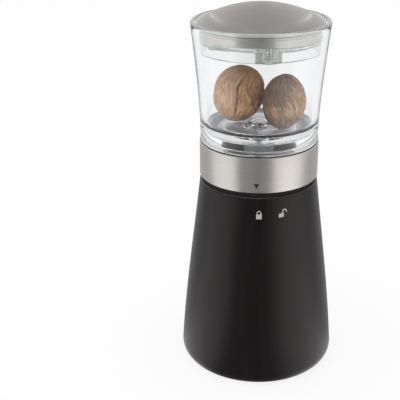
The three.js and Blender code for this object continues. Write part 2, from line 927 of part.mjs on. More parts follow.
function lidPan() {
  const profile = [
    [panRadius - panWall, panBottom],
    [panRadius, panBottom],
    [panRadius, panTop],
    [0, panTop],
  ];
  const under = [[0, panTop - panWall], [panRadius - panWall, panTop - panWall]];
  const hole = disc(lidScrewShankRadius + seatGap, panBottom, panTop + past, tinySegments);
  let body = solid(turned([...under, ...profile], shellSegments));
  for (const [x, y] of lidScrewPlaces()) {
    body = body.subtract(solid(moved(hole, x, y)));
  }
  return geometryOf(body);
}

function lidPlug() {
  const collarRadius = panRadius - panWall - seatGap;
  const collarTop = panTop - panWall - seatGap;
  const profile = [
    [0, plugTop - plugRoof],
    [plugRadius - plugWall, plugTop - plugRoof],
    [plugRadius - plugWall, plugBottom],
    [plugRadius, plugBottom],
    [plugRadius, plugTop],
    [collarRadius, plugTop],
    [collarRadius, collarTop],
    [collarRadius - plugWall, collarTop],
    [collarRadius - plugWall, plugTop],
    [0, plugTop],
  ];
  const headTop = lidScrewBottom + lidScrewHeadHeight + 2 * seatGap;
  const boss = disc(plugBossRadius, lidScrewBottom, collarTop, innerSegments);
  const head = disc(lidScrewHeadRadius + seatGap, lidScrewBottom - past, headTop, smallSegments);
  const shank = disc(lidScrewShankRadius + seatGap, lidScrewBottom, collarTop + past, smallSegments);
  const room = solid(disc(collarRadius, lidScrewBottom - past, collarTop, shellSegments));
  let body = solid(turned(profile, shellSegments));
  for (const [x, y] of lidScrewPlaces()) {
    body = body.add(room.intersect(solid(moved(boss, x, y))));
    body = body.subtract(solid(moved(head, x, y))).subtract(solid(moved(shank, x, y)));
  }
  return geometryOf(body);
}

function lidScrew() {
  const bottom = lidScrewBottom + seatGap;
  const tip = panTop + seatGap + lidScrewReach;
  return screw(lidScrewHeadRadius, lidScrewHeadHeight, lidScrewShankRadius, tip - bottom)
    .translate(0, 0, bottom);
}

// Nutmegs: an egg with shallow furrows that run from end to end

function nutmeg(size) {
  const geometry = new THREE.SphereGeometry(1, 20, 12);
  const position = geometry.attributes.position;
  const point = new THREE.Vector3();
  for (let index = 0; index < position.count; index++) {
    point.fromBufferAttribute(position, index);
    const around = Math.atan2(point.z, point.x);
    const across = Math.hypot(point.x, point.z);
    const wave = (1 + Math.cos(furrowCount * around + furrowPhase)) / 2;
    const radius = size.radius * (1 - furrowShare * across * wave) * (1 - eggShare * point.y);
    point.set(point.x * radius, point.y * size.halfLength, point.z * radius);
    position.setXYZ(index, point.x, point.y, point.z);
  }
  geometry.rotateX(Math.PI / 2);
  geometry.rotateZ(radians(size.turn));
  geometry.rotateY(radians(size.lean));
  geometry.computeBoundingBox();
  const lowest = geometry.boundingBox.min.z;
  geometry.translate(size.x, size.y, floorLevel + seatGap + size.lift - lowest);
  return geometryOf(solid(geometry));
}

// Assembly: each group holds what moves together, inside the group that carries it

const mill = new THREE.Group();
const base = mill;
const head = new THREE.Group();
const knob = new THREE.Group();
const claw = new THREE.Group();
const lid = new THREE.Group();
base.add(head);
head.add(knob);
knob.add(claw);
knob.add(lid);

piece(base, "wooden_body", woodenBody(), blackWood);
piece(base, "grater_ring", graterRing(), blackPlastic);
piece(base, "grater_plate", graterPlate(), polishedSteel);
piece(base, "chamber_lining", chamberLining(), polishedSteel);
piece(base, "bayonet_socket", bayonetSocket(), blackPlastic);
for (let index = 0; index < graterScrewCount; index++) {
  const geometry = screw(
    graterScrewHeadRadius,
    graterScrewHeadHeight,
    graterScrewShankRadius,
    graterScrewLength,
  );
  const mesh = piece(base, `grater_screw_${index + 1}`, geometry, polishedSteel);
  mesh.position.set(...polar(graterScrewCircle, spread(index, graterScrewCount)), graterRecess + seatGap);
}

const band = ring(bandRadius - bandWall, bandRadius, bandBottom, bandTop, shellSegments);
piece(head, "steel_band", band, brushedSteel);
piece(head, "head_core", headCore(), blackPlastic);
piece(head, "bearing_bush", bearingBush(), brass);

piece(knob, "reservoir", reservoir(), clearAcrylic);
piece(knob, "drive_tube", driveTube(), polishedSteel);
piece(knob, "top_screw", topScrew(), polishedSteel);
piece(knob, "thrust_washer", ring(bearingBore, washerRadius, washerBottom, washerTop), palePlastic);
piece(knob, "retaining_clip", clip(), springSteel);
piece(knob, "spring_seat", ring(bearingBore, seatRadius, seatBottom, seatTop), polishedSteel);
piece(knob, "stop_pin", stopPin(), polishedSteel);
piece(knob, "claw_spring", clawSpring(), springSteel);
piece(knob, "nutmeg_left", nutmeg(leftNutmeg), nutShell);
piece(knob, "nutmeg_right", nutmeg(rightNutmeg), nutShell);

piece(claw, "claw_stem", clawStem(), polishedSteel);
piece(claw, "claw_hub", clawHub(), blackPlastic);
piece(claw, "claw_nut", clawNut(), polishedSteel);
for (let index = 0; index < prongCount; index++) {
  const mesh = piece(claw, `claw_prong_${index + 1}`, prong(), polishedSteel);
  mesh.position.set(...polar(prongCircle, spread(index, prongCount)), 0);
}

piece(lid, "lid_dome", lidDome(), brushedSteel);
piece(lid, "lid_seal", lidSeal(), blackRubber);
piece(lid, "lid_pan", lidPan(), brushedSteel);
piece(lid, "lid_plug", lidPlug(), clearAcrylic);
lidScrewPlaces().forEach(([x, y], index) => {
  piece(lid, `lid_screw_${index + 1}`, lidScrew(), polishedSteel).position.set(x, y, 0);
});

export default mill;
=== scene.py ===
import json
import math

import bmesh
import bpy
from mathutils import Matrix, Vector, noise
from mathutils.geometry import interpolate_bezier

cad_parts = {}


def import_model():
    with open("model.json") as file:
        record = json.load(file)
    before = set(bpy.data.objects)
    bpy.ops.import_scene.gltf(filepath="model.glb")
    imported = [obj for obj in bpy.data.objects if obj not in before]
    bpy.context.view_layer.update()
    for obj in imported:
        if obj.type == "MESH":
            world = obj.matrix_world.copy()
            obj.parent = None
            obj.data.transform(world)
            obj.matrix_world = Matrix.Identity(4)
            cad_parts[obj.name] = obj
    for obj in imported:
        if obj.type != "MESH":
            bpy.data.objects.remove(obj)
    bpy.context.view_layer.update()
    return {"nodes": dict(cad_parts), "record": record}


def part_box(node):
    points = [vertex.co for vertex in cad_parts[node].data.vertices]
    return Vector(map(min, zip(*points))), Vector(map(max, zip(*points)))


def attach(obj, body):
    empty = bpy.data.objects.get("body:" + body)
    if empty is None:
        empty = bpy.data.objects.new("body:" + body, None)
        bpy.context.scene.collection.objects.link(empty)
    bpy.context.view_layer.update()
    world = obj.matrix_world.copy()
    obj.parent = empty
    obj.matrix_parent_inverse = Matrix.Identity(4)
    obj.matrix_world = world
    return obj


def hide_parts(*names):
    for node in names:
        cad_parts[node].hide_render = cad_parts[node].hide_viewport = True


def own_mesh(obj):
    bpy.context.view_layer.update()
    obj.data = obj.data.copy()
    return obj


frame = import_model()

nodes = frame["nodes"]
mm = 0.001


# Sizes read from the frame, in millimetres


def low(node, axis=2):
    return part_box(node)[0][axis] / mm


def high(node, axis=2):
    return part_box(node)[1][axis] / mm


def radius_of(node):
    return high(node, 0)


def middle_of(node):
    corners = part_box(node)
    return (corners[0] + corners[1]) / 2 / mm


body_top = high("wooden_body")
foot_radius = radius_of("wooden_body")
band_bottom = low("steel_band")
band_top = high("steel_band")
band_radius = radius_of("steel_band")
rim_top = high("reservoir")
rim_radius = radius_of("reservoir")
boss_bottom = low("reservoir")
tube_top = high("drive_tube")
shoulder_top = high("thrust_washer")
apex = high("lid_dome")
dome_radius = radius_of("lid_dome")
pan_radius = radius_of("lid_pan")
pan_bottom = low("lid_pan")
pan_top = high("lid_pan")
plug_radius = radius_of("lid_plug")
collar_top = high("lid_plug")
boss_low = low("lid_plug")

# Shared by several pieces, in millimetres
fit_gap = 0.3
overcut = 1

# Wooden body, in millimetres
foot_edge_depth = 4.1
foot_edge_rise = 5.5
foot_lean = 0.066
shoulder_radius = band_radius
shoulder_edge = 0.6
shoulder_lean = 0.115
side_handle = 0.333
pocket_radius = 27.0
plate_bore = 21.6
lining_bore = 19.5
socket_bore = 24.8
lining_flange = 1.7

# Grater, in millimetres
ring_low = low("grater_ring")
ring_top = high("grater_ring")
ring_radius = radius_of("grater_ring")
outlet_radius = 16.0
outlet_chamfer = 1.4
plate_low = low("grater_plate")
plate_radius = radius_of("grater_plate")
plate_thickness = 0.8
tooth_spacing = 6.2
tooth_twist = 7
tooth_hole = 1.15
tooth_sink = 0.3
tooth_foot = 0.8
tooth_shoulder = 0.75
tooth_neck = 0.25
tooth_neck_rise = 0.35
tooth_lip = 0.1
tooth_rise = 0.8
holder_head_bore = 2.3
holder_head_sink = 2.1
holder_shank_bore = 1.4
grater_screws = ("grater_screw_1", "grater_screw_2", "grater_screw_3")

# Marks, in millimetres, with headings in degrees from the front towards the right
mark_thickness = 0.03
mark_gap = 0.01
mark_step = 0.8
triangle_heading = -1.6
triangle_height = 101.8
closed_heading = 1.1
closed_height = 88.25
open_heading = 21.8
open_height = 88.1

# Head, in millimetres
band_wall = 0.8
collar_inner = 26.6
collar_outer = 27.5
collar_lift = 0.4
collar_drop = 0.15
core_low = low("head_core")
core_top = high("head_core")
core_radius = radius_of("head_core")
core_floor = 107.7
core_roof = 103.5
hub_low = 96.3
hub_radius = 9.6
hub_bore = 7.5
spigot_radius = 20.15
spigot_bore = 18.4
lug_radius = 22.4
lug_low = 90.0
lug_top = 93.2
lug_root = 0.5
lug_heading = 90
lug_spacing = 120
lug_half_angle = 9.5

# Clear reservoir, in millimetres
reservoir_bottom = band_top + fit_gap
reservoir_foot_radius = 28.0
rim_rounding = 1.3
rim_wall = 2.5
foot_wall = 3.2
wall_straight = 0.26
wall_bend = 0.54
wall_bend_flare = 0.3
floor_level = 123.5
floor_corner = 3.6
boss_top_radius = 5.2
boss_top_rise = 1.2
boss_radius = 7.3
recess_radius = 17.5
recess_roof = 119.4
smoked_radius = 20.4
seat_depth = 1.8
seat_radius = 3.3
seat_bore = 1.9
neck_radius = 3.0
neck_bore = 3.3
thread_pitch = 1.0
thread_turns = 9
thread_start = 0.6
thread_depth = 0.22
thread_root = 0.15
thread_half = 0.45

# Nutmegs: furrows, bumps and lumps as shares of the radius
seam_depth = 0.045
seam_width = 0.055
furrow_depth = 0.030
furrow_width = 0.055
wrinkle_depth = 0.016
wrinkle_width = 0.10
crumple_depth = 0.014
lump_height = 0.03
taper = 0.04
fibre_wander = 0.22
fibre_twist = 0.18
fibre_climb = 0.24

# Lid, in millimetres
dome_edge = 171.3
dome_rise = apex - dome_edge
dome_wall = 0.8
dome_fullness = 1.74
dome_crown = 1.28
dome_hem = 0.45
pan_wall = 0.7
pan_bend = 1.5
pan_bead = 0.55
bead_overhang = 0.05
bead_depth = 2.4
seal_inset = 1.2
seal_width = 2.4
collar_inset = 1.0
plug_top = pan_bottom - fit_gap
plug_bottom = boss_low + 0.5
plug_wall = 1.8
plug_boss = 5.7
plug_boss_core = 5.2
plug_boss_root = 0.5
plug_screw_recess = 2.2
plug_screw_sink = 1.4
plug_screw_share = 0.9
plug_screw_pitch = 1.5
lid_screws = ("lid_screw_1", "lid_screw_2", "lid_screw_3")

# Claw spring, in millimetres
wire_radius = 0.6
coil_turns = 13

# Screws: shares of the head's radius
head_sink = 0.62
slot_length = 1.5
slot_width = 0.28
slot_depth = 0.9
point_share = 0.35
screw_thread_depth = 0.4


# Shaders


class Tree:
    """A node tree, with short ways to add and join its nodes."""

    def __init__(self, tree):
        self.tree = tree

    def add(self, kind, **settings):
        node = self.tree.nodes.new(kind)
        for key, value in settings.items():
            setattr(node, key, value)
        return node

    def join(self, start, end):
        self.tree.links.new(start, end)

    def feed(self, socket, value):
        if isinstance(value, (int, float, tuple)):
            socket.default_value = value
        else:
            self.join(value, socket)

    def noise(self, vector, scale, detail=3.0, roughness=0.5, distortion=0.0):
        node = self.add("ShaderNodeTexNoise")
        node.inputs["Scale"].default_value = scale
        node.inputs["Detail"].default_value = detail
        node.inputs["Roughness"].default_value = roughness
        node.inputs["Distortion"].default_value = distortion
        self.join(vector, node.inputs["Vector"])
        return node.outputs["Fac"]

    def spread(self, value, start, end, to_start=0.0, to_end=1.0):
        """Maps a value between start and end to one between to_start and to_end, and holds it there."""
        node = self.add("ShaderNodeMapRange")
        node.inputs["From Min"].default_value = start
        node.inputs["From Max"].default_value = end
        node.inputs["To Min"].default_value = to_start
        node.inputs["To Max"].default_value = to_end
        self.join(value, node.inputs["Value"])
        return node.outputs["Result"]

    def ramp(self, value, stops):
        node = self.add("ShaderNodeValToRGB")
        elements = node.color_ramp.elements
        while len(elements) < len(stops):
            elements.new(0.5)
        for element, (position, colour) in zip(elements, stops):
            element.position = position
            element.color = (*colour, 1.0)
        self.join(value, node.inputs["Fac"])
        return node.outputs["Color"]

    def math(self, operation, first, second=0.0):
        node = self.add("ShaderNodeMath", operation=operation)
        self.feed(node.inputs[0], first)
        self.feed(node.inputs[1], second)
        return node.outputs["Value"]

    def blend(self, share, first, second):
        node = self.add("ShaderNodeMix", data_type="RGBA")
        self.feed(node.inputs["Factor"], share)
        colours = [socket for socket in node.inputs if socket.type == "RGBA"]
        for socket, value in zip(colours, (first, second)):
            self.feed(socket, (*value, 1.0) if isinstance(value, tuple) else value)
        return [socket for socket in node.outputs if socket.type == "RGBA"][0]

    def studio(self, place, levels, zenith=None):
        """Brightness of the studio by heading, in degrees from the front to the right, and at the top."""
        split = self.add("ShaderNodeSeparateXYZ")
        self.join(place, split.inputs["Vector"])
        front = self.math("MULTIPLY", split.outputs["Y"], -1.0)
        heading = self.math("ARCTAN2", split.outputs["X"], front)
        turn = self.spread(heading, -math.pi, math.pi)
        stops = [((degrees + 180) / 360, (level, level, level)) for degrees, level in levels]
        walls = self.ramp(turn, stops)
        if zenith is None:
            return walls
        upward = self.spread(split.outputs["Z"], 0.32, 0.75)
        return self.blend(upward, walls, (zenith, zenith, zenith))


class Shader(Tree):
    """A material round one Principled shader, on Object coordinates."""

    def __init__(self, name):
        self.material = bpy.data.materials.new(name)
        self.material.use_nodes = True
        super().__init__(self.material.node_tree)
        self.surface = self.tree.nodes["Principled BSDF"]
        self.output = self.tree.nodes["Material Output"]
        self.place = self.add("ShaderNodeTexCoord").outputs["Object"]

    def set(self, **values):
        for key, value in values.items():
            self.surface.inputs[key.replace("_", " ").title().replace("Ior", "IOR")].default_value = value

    def mapped(self, scale=(1, 1, 1), turn=(0, 0, 0), shift=(0, 0, 0)):
        node = self.add("ShaderNodeMapping")
        node.inputs["Location"].default_value = shift
        node.inputs["Rotation"].default_value = turn
        node.inputs["Scale"].default_value = scale
        self.join(self.place, node.inputs["Vector"])
        return node.outputs["Vector"]

    def along(self, direction, centre):
        """Distance in metres from a centre, given in millimetres, along a direction."""
        node = self.add("ShaderNodeVectorMath", operation="DOT_PRODUCT")
        self.join(self.mapped(shift=tuple(-c * mm for c in centre)), node.inputs[0])
        node.inputs[1].default_value = Vector(direction).normalized()
        return node.outputs["Value"]

    def bump(self, height, strength, distance):
        node = self.add("ShaderNodeBump")
        node.inputs["Strength"].default_value = strength
        node.inputs["Distance"].default_value = distance
        self.join(height, node.inputs["Height"])
        self.join(node.outputs["Normal"], self.surface.inputs["Normal"])

    def brushed_along(self, axis):
        """Spreads the gloss across brush lines; axis is the one that the tangents run round."""
        tangent = self.add("ShaderNodeTangent", direction_type="RADIAL", axis=axis)
        self.join(tangent.outputs["Tangent"], self.surface.inputs["Tangent"])

    def colour(self, value):
        self.join(value, self.surface.inputs["Base Color"])

    def roughness(self, value):
        self.join(value, self.surface.inputs["Roughness"])


# The studio: a dark front between two bright walls, as (heading in degrees, brightness)

front_levels = [
    (-43, 0.85),
    (-35, 0.48),
    (-28, 0.38),
    (-17, 0.36),
    (0, 0.29),
    (15, 0.37),
    (23, 0.52),
    (31, 0.86),
    (40, 1.14),
]
side_left_levels = [(-100, 0.72), (-90, 1.02), (-70, 1.16), (-50, 1.10)]
side_right_levels = [(50, 1.28), (66, 1.32), (80, 1.15), (90, 0.88), (100, 0.62)]
low_levels = [
    (-180, 0.55),
    (-160, 0.52),
    (-112, 0.56),
    *side_left_levels,
    *front_levels,
    *side_right_levels,
    (112, 0.52),
    (180, 0.55),
]
high_levels = [
    (-180, 0.78),
    (-170, 0.92),
    (-158, 1.02),
    (-100, 0.92),
    (-50, 0.90),
    *front_levels[1:-1],
    (50, 0.90),
    (100, 0.92),
    (158, 1.02),
    (170, 0.92),
    (180, 0.78),
]
clear_levels = [
    (-180, 1.0),
    (-90, 1.0),
    (-50, 1.05),
    *front_levels[1:-1],
    (50, 1.05),
    (90, 1.0),
    (180, 1.0),
]
mirrored_zenith = 0.45
clear_zenith = 0.9


def shade(colour, factor):
    return tuple(channel * factor for channel in colour)


def black_stained_wood():
    """Beech stained black: fine pores along the grain, faint growth rings, a thin satin varnish."""
    s = Shader("black_stained_wood")
    rings = s.add("ShaderNodeTexWave", wave_type="RINGS", rings_direction="Y")
    rings.inputs["Scale"].default_value = 42
    rings.inputs["Distortion"].default_value = 6.0
    rings.inputs["Detail"].default_value = 3.0
    rings.inputs["Detail Scale"].default_value = 1.4
    s.join(s.mapped(scale=(1, 1, 0.24), shift=(-0.020, 0, -0.010)), rings.inputs["Vector"])
    fibre = s.noise(s.mapped(scale=(1, 1, 0.035)), 1100, detail=4, roughness=0.6)
    patch = s.noise(s.mapped(scale=(1, 1, 0.4)), 30, detail=2)
    figure = s.math("ADD", s.math("MULTIPLY", rings.outputs["Fac"], 0.35), s.math("MULTIPLY", fibre, 0.65))
    stain = s.ramp(figure, [
        (0.25, (0.0010, 0.0007, 0.0006)),
        (0.55, (0.0021, 0.0015, 0.0012)),
        (0.85, (0.0060, 0.0042, 0.0034)),
    ])
    stain = s.blend(s.spread(patch, 0.35, 0.7, 0.0, 0.3), stain, (0.0046, 0.0033, 0.0027))
    # Painted highlight: the top face and the last half millimetre below its edge turn paler brown, with a
    # ragged border.
    height = s.along((0, 0, 1), (0, 0, body_top))
    ragged = s.math("ADD", height, s.spread(fibre, 0.3, 0.7, -0.00015, 0.00015))
    painted_edge_highlight = s.spread(ragged, -0.00055, -0.0001)
    s.colour(s.blend(s.math("MULTIPLY", painted_edge_highlight, 0.8), stain, (0.060, 0.058, 0.057)))
    s.roughness(s.spread(fibre, 0.3, 0.75, 0.27, 0.34))
    s.bump(fibre, 0.06, 0.00005)
    s.set(specular_ior_level=0.35, specular_tint=(1.0, 0.91, 0.92, 1.0))
    return s.material


def brushed_steel(name, tint, rough, lines_along, axis, turn, anisotropy):
    """Stainless steel with fine brush lines that follow one direction."""
    s = Shader(name)
    lines = s.noise(s.mapped(scale=lines_along), 1500, detail=3, roughness=0.65)
    broad = s.noise(s.mapped(scale=lines_along), 260, detail=2)
    s.colour(s.blend(s.spread(lines, 0.3, 0.7), shade(tint, 0.93), tint))
    s.roughness(s.spread(s.math("ADD", lines, broad), 0.6, 1.4, rough - 0.04, rough + 0.05))
    s.bump(lines, 0.08, 0.00003)
    s.set(metallic=1.0, anisotropic=anisotropy, anisotropic_rotation=turn)
    s.brushed_along(axis)
    return s.material


def polished_steel(name="polished_steel", tint=(0.66, 0.65, 0.63), rough=0.16):
    s = Shader(name)
    haze = s.noise(s.mapped(), 900, detail=3)
    s.colour(s.blend(haze, shade(tint, 0.9), tint))
    s.roughness(s.spread(haze, 0.3, 0.7, rough - 0.04, rough + 0.08))
    s.bump(haze, 0.04, 0.00003)
    s.set(metallic=1.0)
    return s.material


def turned_brass():
    s = Shader("turned_brass")
    lines = s.noise(s.mapped(scale=(0.02, 0.02, 1.0)), 1800, detail=3)
    s.colour(s.blend(lines, (0.50, 0.36, 0.13), (0.66, 0.50, 0.22)))
    s.roughness(s.spread(lines, 0.3, 0.7, 0.22, 0.36))
    s.bump(lines, 0.1, 0.00003)
    s.set(metallic=1.0)
    return s.material


def moulded_plastic(name, dark, light, rough=0.45, specular=0.5):
    """Moulded plastic with a fine even grain and slight flow marks."""
    s = Shader(name)
    pores = s.noise(s.mapped(), 2200, detail=2)
    flow = s.noise(s.mapped(scale=(1, 1, 0.3)), 60, detail=2)
    s.colour(s.blend(s.spread(flow, 0.3, 0.7), dark, light))
    s.roughness(s.spread(pores, 0.3, 0.7, rough - 0.05, rough + 0.08))
    s.bump(pores, 0.12, 0.00004)
    s.set(specular_ior_level=specular)
    return s.material


def clear_acrylic(name="clear_acrylic", tint=(0.955, 0.965, 0.975), clear=1.0):
    """Acrylic with the faint waves that moulding leaves, through which light reaches the nutmegs."""
    s = Shader(name)
    waves = s.noise(s.mapped(scale=(1, 1, 0.6)), 60, detail=2)
    s.colour(s.blend(waves, shade(tint, 0.99), tint))
    s.bump(waves, 0.03, 0.0006)
    s.set(roughness=0.0, transmission_weight=clear, ior=1.49)
    path = s.add("ShaderNodeLightPath")
    surface = s.surface.outputs["BSDF"]
    for kind in ("Is Shadow Ray", "Is Diffuse Ray"):
        passing = s.add("ShaderNodeBsdfTransparent")
        choice = s.add("ShaderNodeMixShader")
        s.join(path.outputs[kind], choice.inputs["Fac"])
        s.join(surface, choice.inputs[1])
        s.join(passing.outputs["BSDF"], choice.inputs[2])
        surface = choice.outputs["Shader"]
    s.join(surface, s.output.inputs["Surface"])
    return s.material


def nutmeg_shell(name, node, palette, lit_and_shaded_patches):
    """Dry nutmeg: strands from end to end, dark furrows, and pale and dark marks laid on by position.

    A patch is (direction, where it starts and is full in millimetres, strength, colour). Pale ones are
    mostly painted light on lit sides, and dark ones are painted shade.
    """
    s = Shader(name)
    furrow_colour_and_shade, dark, middle, light = palette
    centre = tuple(middle_of(node))
    way = s.add("ShaderNodeAttribute", attribute_name="fibre_way").outputs["Vector"]
    depth = s.add("ShaderNodeAttribute", attribute_name="furrow_depth").outputs["Fac"]
    strand = s.noise(way, 8.0, detail=5, roughness=0.65, distortion=0.3)
    hair = s.noise(way, 27.0, detail=3, roughness=0.6)
    fleck = s.noise(s.place, 700, detail=3, roughness=0.6, distortion=0.5)
    cloud = s.noise(s.place, 120, detail=3, distortion=0.6)
    lines = s.math("ADD", s.math("MULTIPLY", strand, 0.7), s.math("MULTIPLY", hair, 0.3))
    shell = s.ramp(lines, [(0.42, dark), (0.49, middle), (0.56, light)])
    # Each patch blends its colour in by position: pale ones paint light, dark ones paint shade.
    for direction, start, end, strength, tint in lit_and_shaded_patches:
        reach = s.math("ADD", s.along(direction, centre), s.spread(cloud, 0.3, 0.7, -0.004, 0.004))
        share = s.spread(reach, start * mm, end * mm)
        broken = s.spread(lines, 0.64, 0.40, strength * 0.45, strength)
        shell = s.blend(s.math("MULTIPLY", share, broken), shell, tint)
    shell = s.blend(s.spread(fleck, 0.58, 0.70, 0.0, 0.65), shell, shade(middle, 0.5))
    # Darker in the furrows: partly the shell's own colour there, partly painted shade.
    shell = s.blend(s.spread(depth, 0.15, 1.0, 0.0, 0.85), shell, furrow_colour_and_shade)
    s.colour(shell)
    s.roughness(s.spread(lines, 0.35, 0.65, 0.62, 0.85))
    relief = s.math("ADD", s.math("MULTIPLY", strand, 0.6), s.math("MULTIPLY", hair, 0.4))
    s.bump(s.math("ADD", relief, s.math("MULTIPLY", fleck, 0.3)), 0.8, 0.0007)
    s.set(specular_ior_level=0.25)
    return s.material


def printed_ink(name, dark, light):
    s = Shader(name)
    grain = s.noise(s.mapped(), 3000, detail=2)
    s.colour(s.blend(grain, dark, light))
    s.roughness(s.spread(grain, 0.3, 0.7, 0.35, 0.5))
    return s.material


# Mesh tools


def finish(name, bm, material, body, replaces=(), crease=35):
    """Turns a bmesh in millimetres into a finished piece of the mill."""
    bmesh.ops.remove_doubles(bm, verts=bm.verts, dist=0.0005)
    bmesh.ops.recalc_face_normals(bm, faces=bm.faces)
    bmesh.ops.scale(bm, vec=(mm, mm, mm), verts=bm.verts)
    mesh = bpy.data.meshes.new(name)
    for face in bm.faces:
        face.smooth = True
    bm.to_mesh(mesh)
    bm.free()
    mesh.set_sharp_from_angle(angle=math.radians(crease))
    mesh.materials.append(material)
    piece = bpy.data.objects.new(name, mesh)
    bpy.context.scene.collection.objects.link(piece)
    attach(piece, body)
    if replaces:
        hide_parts(*replaces)
    return piece


def rounded(profile, steps=4):
    """Rounds the corners of a profile: a point (radius, height, fillet) becomes an arc of that fillet."""
    points = []
    count = len(profile)
    for index, (r, z, *fillet) in enumerate(profile):
        here = Vector((r, z))
        if not fillet:
            points.append(here)
            continue
        before = Vector(profile[(index - 1) % count][:2]) - here
        after = Vector(profile[(index + 1) % count][:2]) - here
        half = before.angle(after) / 2
        reach = min(fillet[0] / math.tan(half), before.length * 0.49, after.length * 0.49)
        size = reach * math.tan(half)
        middle = here + (before.normalized() + after.normalized()).normalized() * (size / math.sin(half))
        first = here + before.normalized() * reach - middle
        last = here + after.normalized() * reach - middle
        turn = first.angle_signed(last)
        for step in range(steps + 1):
            points.append(middle + Matrix.Rotation(-turn * step / steps, 2) @ first)
    return points


def turned(profile, closed=True, segments=128, steps=4):
    """Spins a profile of (radius, height) round the axis."""
    points = rounded(profile, steps)
    bm = bmesh.new()
    verts = [bm.verts.new((p[0], 0, p[1])) for p in points]
    edges = [bm.edges.new(pair) for pair in zip(verts, verts[1:])]
    if closed:
        edges.append(bm.edges.new((verts[-1], verts[0])))
    bmesh.ops.spin(
        bm,
        geom=verts + edges,
        cent=(0, 0, 0),
        axis=(0, 0, 1),
        angle=2 * math.pi,
        steps=segments,
        use_merge=True,
    )
    bmesh.ops.remove_doubles(bm, verts=bm.verts, dist=0.0005)
    bmesh.ops.recalc_face_normals(bm, faces=bm.faces)
    return bm


def ring(inner, outer, bottom, top, fillet, segments):
    corners = [(inner, bottom), (outer, bottom), (outer, top), (inner, top)]
    return turned([(*corner, fillet) for corner in corners], segments=segments)


def rod(radius, bottom, top, fillet=0.0, segments=48):
    """A solid rod on the axis."""
    profile = [(0, bottom), (radius, bottom, fillet), (radius, top, fillet), (0, top)]
    if not fillet:
        profile = [corner[:2] for corner in profile]
    return turned(profile, closed=False, segments=segments)


def moved(bm, x, y, z=0.0):
    bmesh.ops.translate(bm, vec=(x, y, z), verts=bm.verts)
    return bm


def combined(bm, other, operation):
    """Cuts another solid out of a solid, or joins it on, with one Boolean modifier."""
    meshes = []
    for part in (bm, other):
        mesh = bpy.data.meshes.new("working_mesh")
        part.to_mesh(mesh)
        part.free()
        meshes.append(mesh)
    first, second = (bpy.data.objects.new("working_object", mesh) for mesh in meshes)
    for piece in (first, second):
        bpy.context.scene.collection.objects.link(piece)
    cut = first.modifiers.new("cut", "BOOLEAN")
    cut.operation = operation
    cut.object = second
    cut.solver = "EXACT"
    bpy.context.view_layer.update()
    result = bmesh.new()
    result.from_object(first, bpy.context.evaluated_depsgraph_get())
    for piece in (first, second):
        bpy.data.objects.remove(piece)
    for mesh in meshes:
        bpy.data.meshes.remove(mesh)
    return result


def bezier(start, handle, other_handle, end, count):
    """Points (radius, height) along a Bezier curve."""
    curve = interpolate_bezier(*(Vector((r, 0, z)) for r, z in (start, handle, other_handle, end)), count)
    return [(p.x, p.z) for p in curve]


def arc(middle, radii, start, end, count):
    """Points (radius, height) along an elliptical arc, its angles in degrees."""
    points = []
    for step in range(count + 1):
        angle = math.radians(start + (end - start) * step / count)
        points.append((middle[0] + radii[0] * math.cos(angle), middle[1] + radii[1] * math.sin(angle)))
    return points


def screw(name, node, body, material, head_at_bottom, shank_share=0.52, pitch=0.0):
    """A countersunk slotted screw in the place of a plain one, threaded where it is seen."""
    x, y, _ = middle_of(node)
    bottom, top = low(node), high(node)
    head = (high(node, 0) - low(node, 0)) / 2
    shank = head * shank_share
    sink = head * head_sink
    length = top - bottom
    thread = []
    if pitch:
        for index in range(int((length - shank - sink) / pitch)):
            start = sink + pitch * index
            valley = (shank - screw_thread_depth, start + pitch * 0.3)
            thread += [valley, (shank, start + pitch * 0.8)]
    profile = [
        (0, 0),
        (head - 0.1, 0, 0.15),
        (head, sink * 0.35, 0.1),
        (shank, sink, 0.1),
        *thread,
        (shank, length - shank),
        (shank * point_share, length),
        (0, length),
    ]
    bm = turned(profile, closed=False, segments=48)
    slot = bmesh.new()
    bmesh.ops.create_cube(slot, size=1.0)
    size = (head * slot_length, head * slot_width, sink * slot_depth)
    bmesh.ops.scale(slot, vec=size, verts=slot.verts)
    bm = combined(bm, slot, "DIFFERENCE")
    if not head_at_bottom:
        over = Matrix.Rotation(math.pi, 3, "X")
        bmesh.ops.rotate(bm, cent=(0, 0, 0), matrix=over, verts=bm.verts)
    moved(bm, x, y, bottom if head_at_bottom else top)
    finish(name, bm, material, body, [node])


# Wooden body


def body_side(count=40):
    """The body's outline from the top of its foot's rounding to its shoulder."""
    start = (foot_radius, foot_edge_rise)
    end = (shoulder_radius, body_top - shoulder_edge)
    handle = (end[1] - start[1]) * side_handle
    return bezier(
        start,
        (start[0] - handle * foot_lean, start[1] + handle),
        (end[0] + handle * shoulder_lean, end[1] - handle),
        end,
        count,
    )


def body_radius(height):
    """The body's outer radius at a height, read off its side."""
    side = body_side()
    for (r0, z0), (r1, z1) in zip(side, side[1:]):
        if z0 <= height <= z1:
            return r0 + (r1 - r0) * (height - z0) / (z1 - z0)
    return shoulder_radius


def wooden_body(material):
    edge_middle = (foot_radius - foot_edge_depth, foot_edge_rise)
    foot = arc(edge_middle, (foot_edge_depth, foot_edge_rise), -90, 0, 10)
    pocket_top = ring_top + fit_gap
    flange_top = low("chamber_lining") + lining_flange
    socket_bottom = low("bayonet_socket") - fit_gap
    profile = [
        (pocket_radius, 0.0, 0.4),
        *foot[:-1],
        *body_side(),
        (shoulder_radius - shoulder_edge, body_top, 0.5),
        (socket_bore, body_top, 0.3),
        (socket_bore, socket_bottom),
        (lining_bore, socket_bottom),
        (lining_bore, flange_top),
        (plate_bore, flange_top),
        (plate_bore, pocket_top),
        (pocket_radius, pocket_top),
    ]
    bm = turned(profile, segments=160)
    finish("body_turned", bm, material, "base", ["wooden_body"])


# Grater in the underside


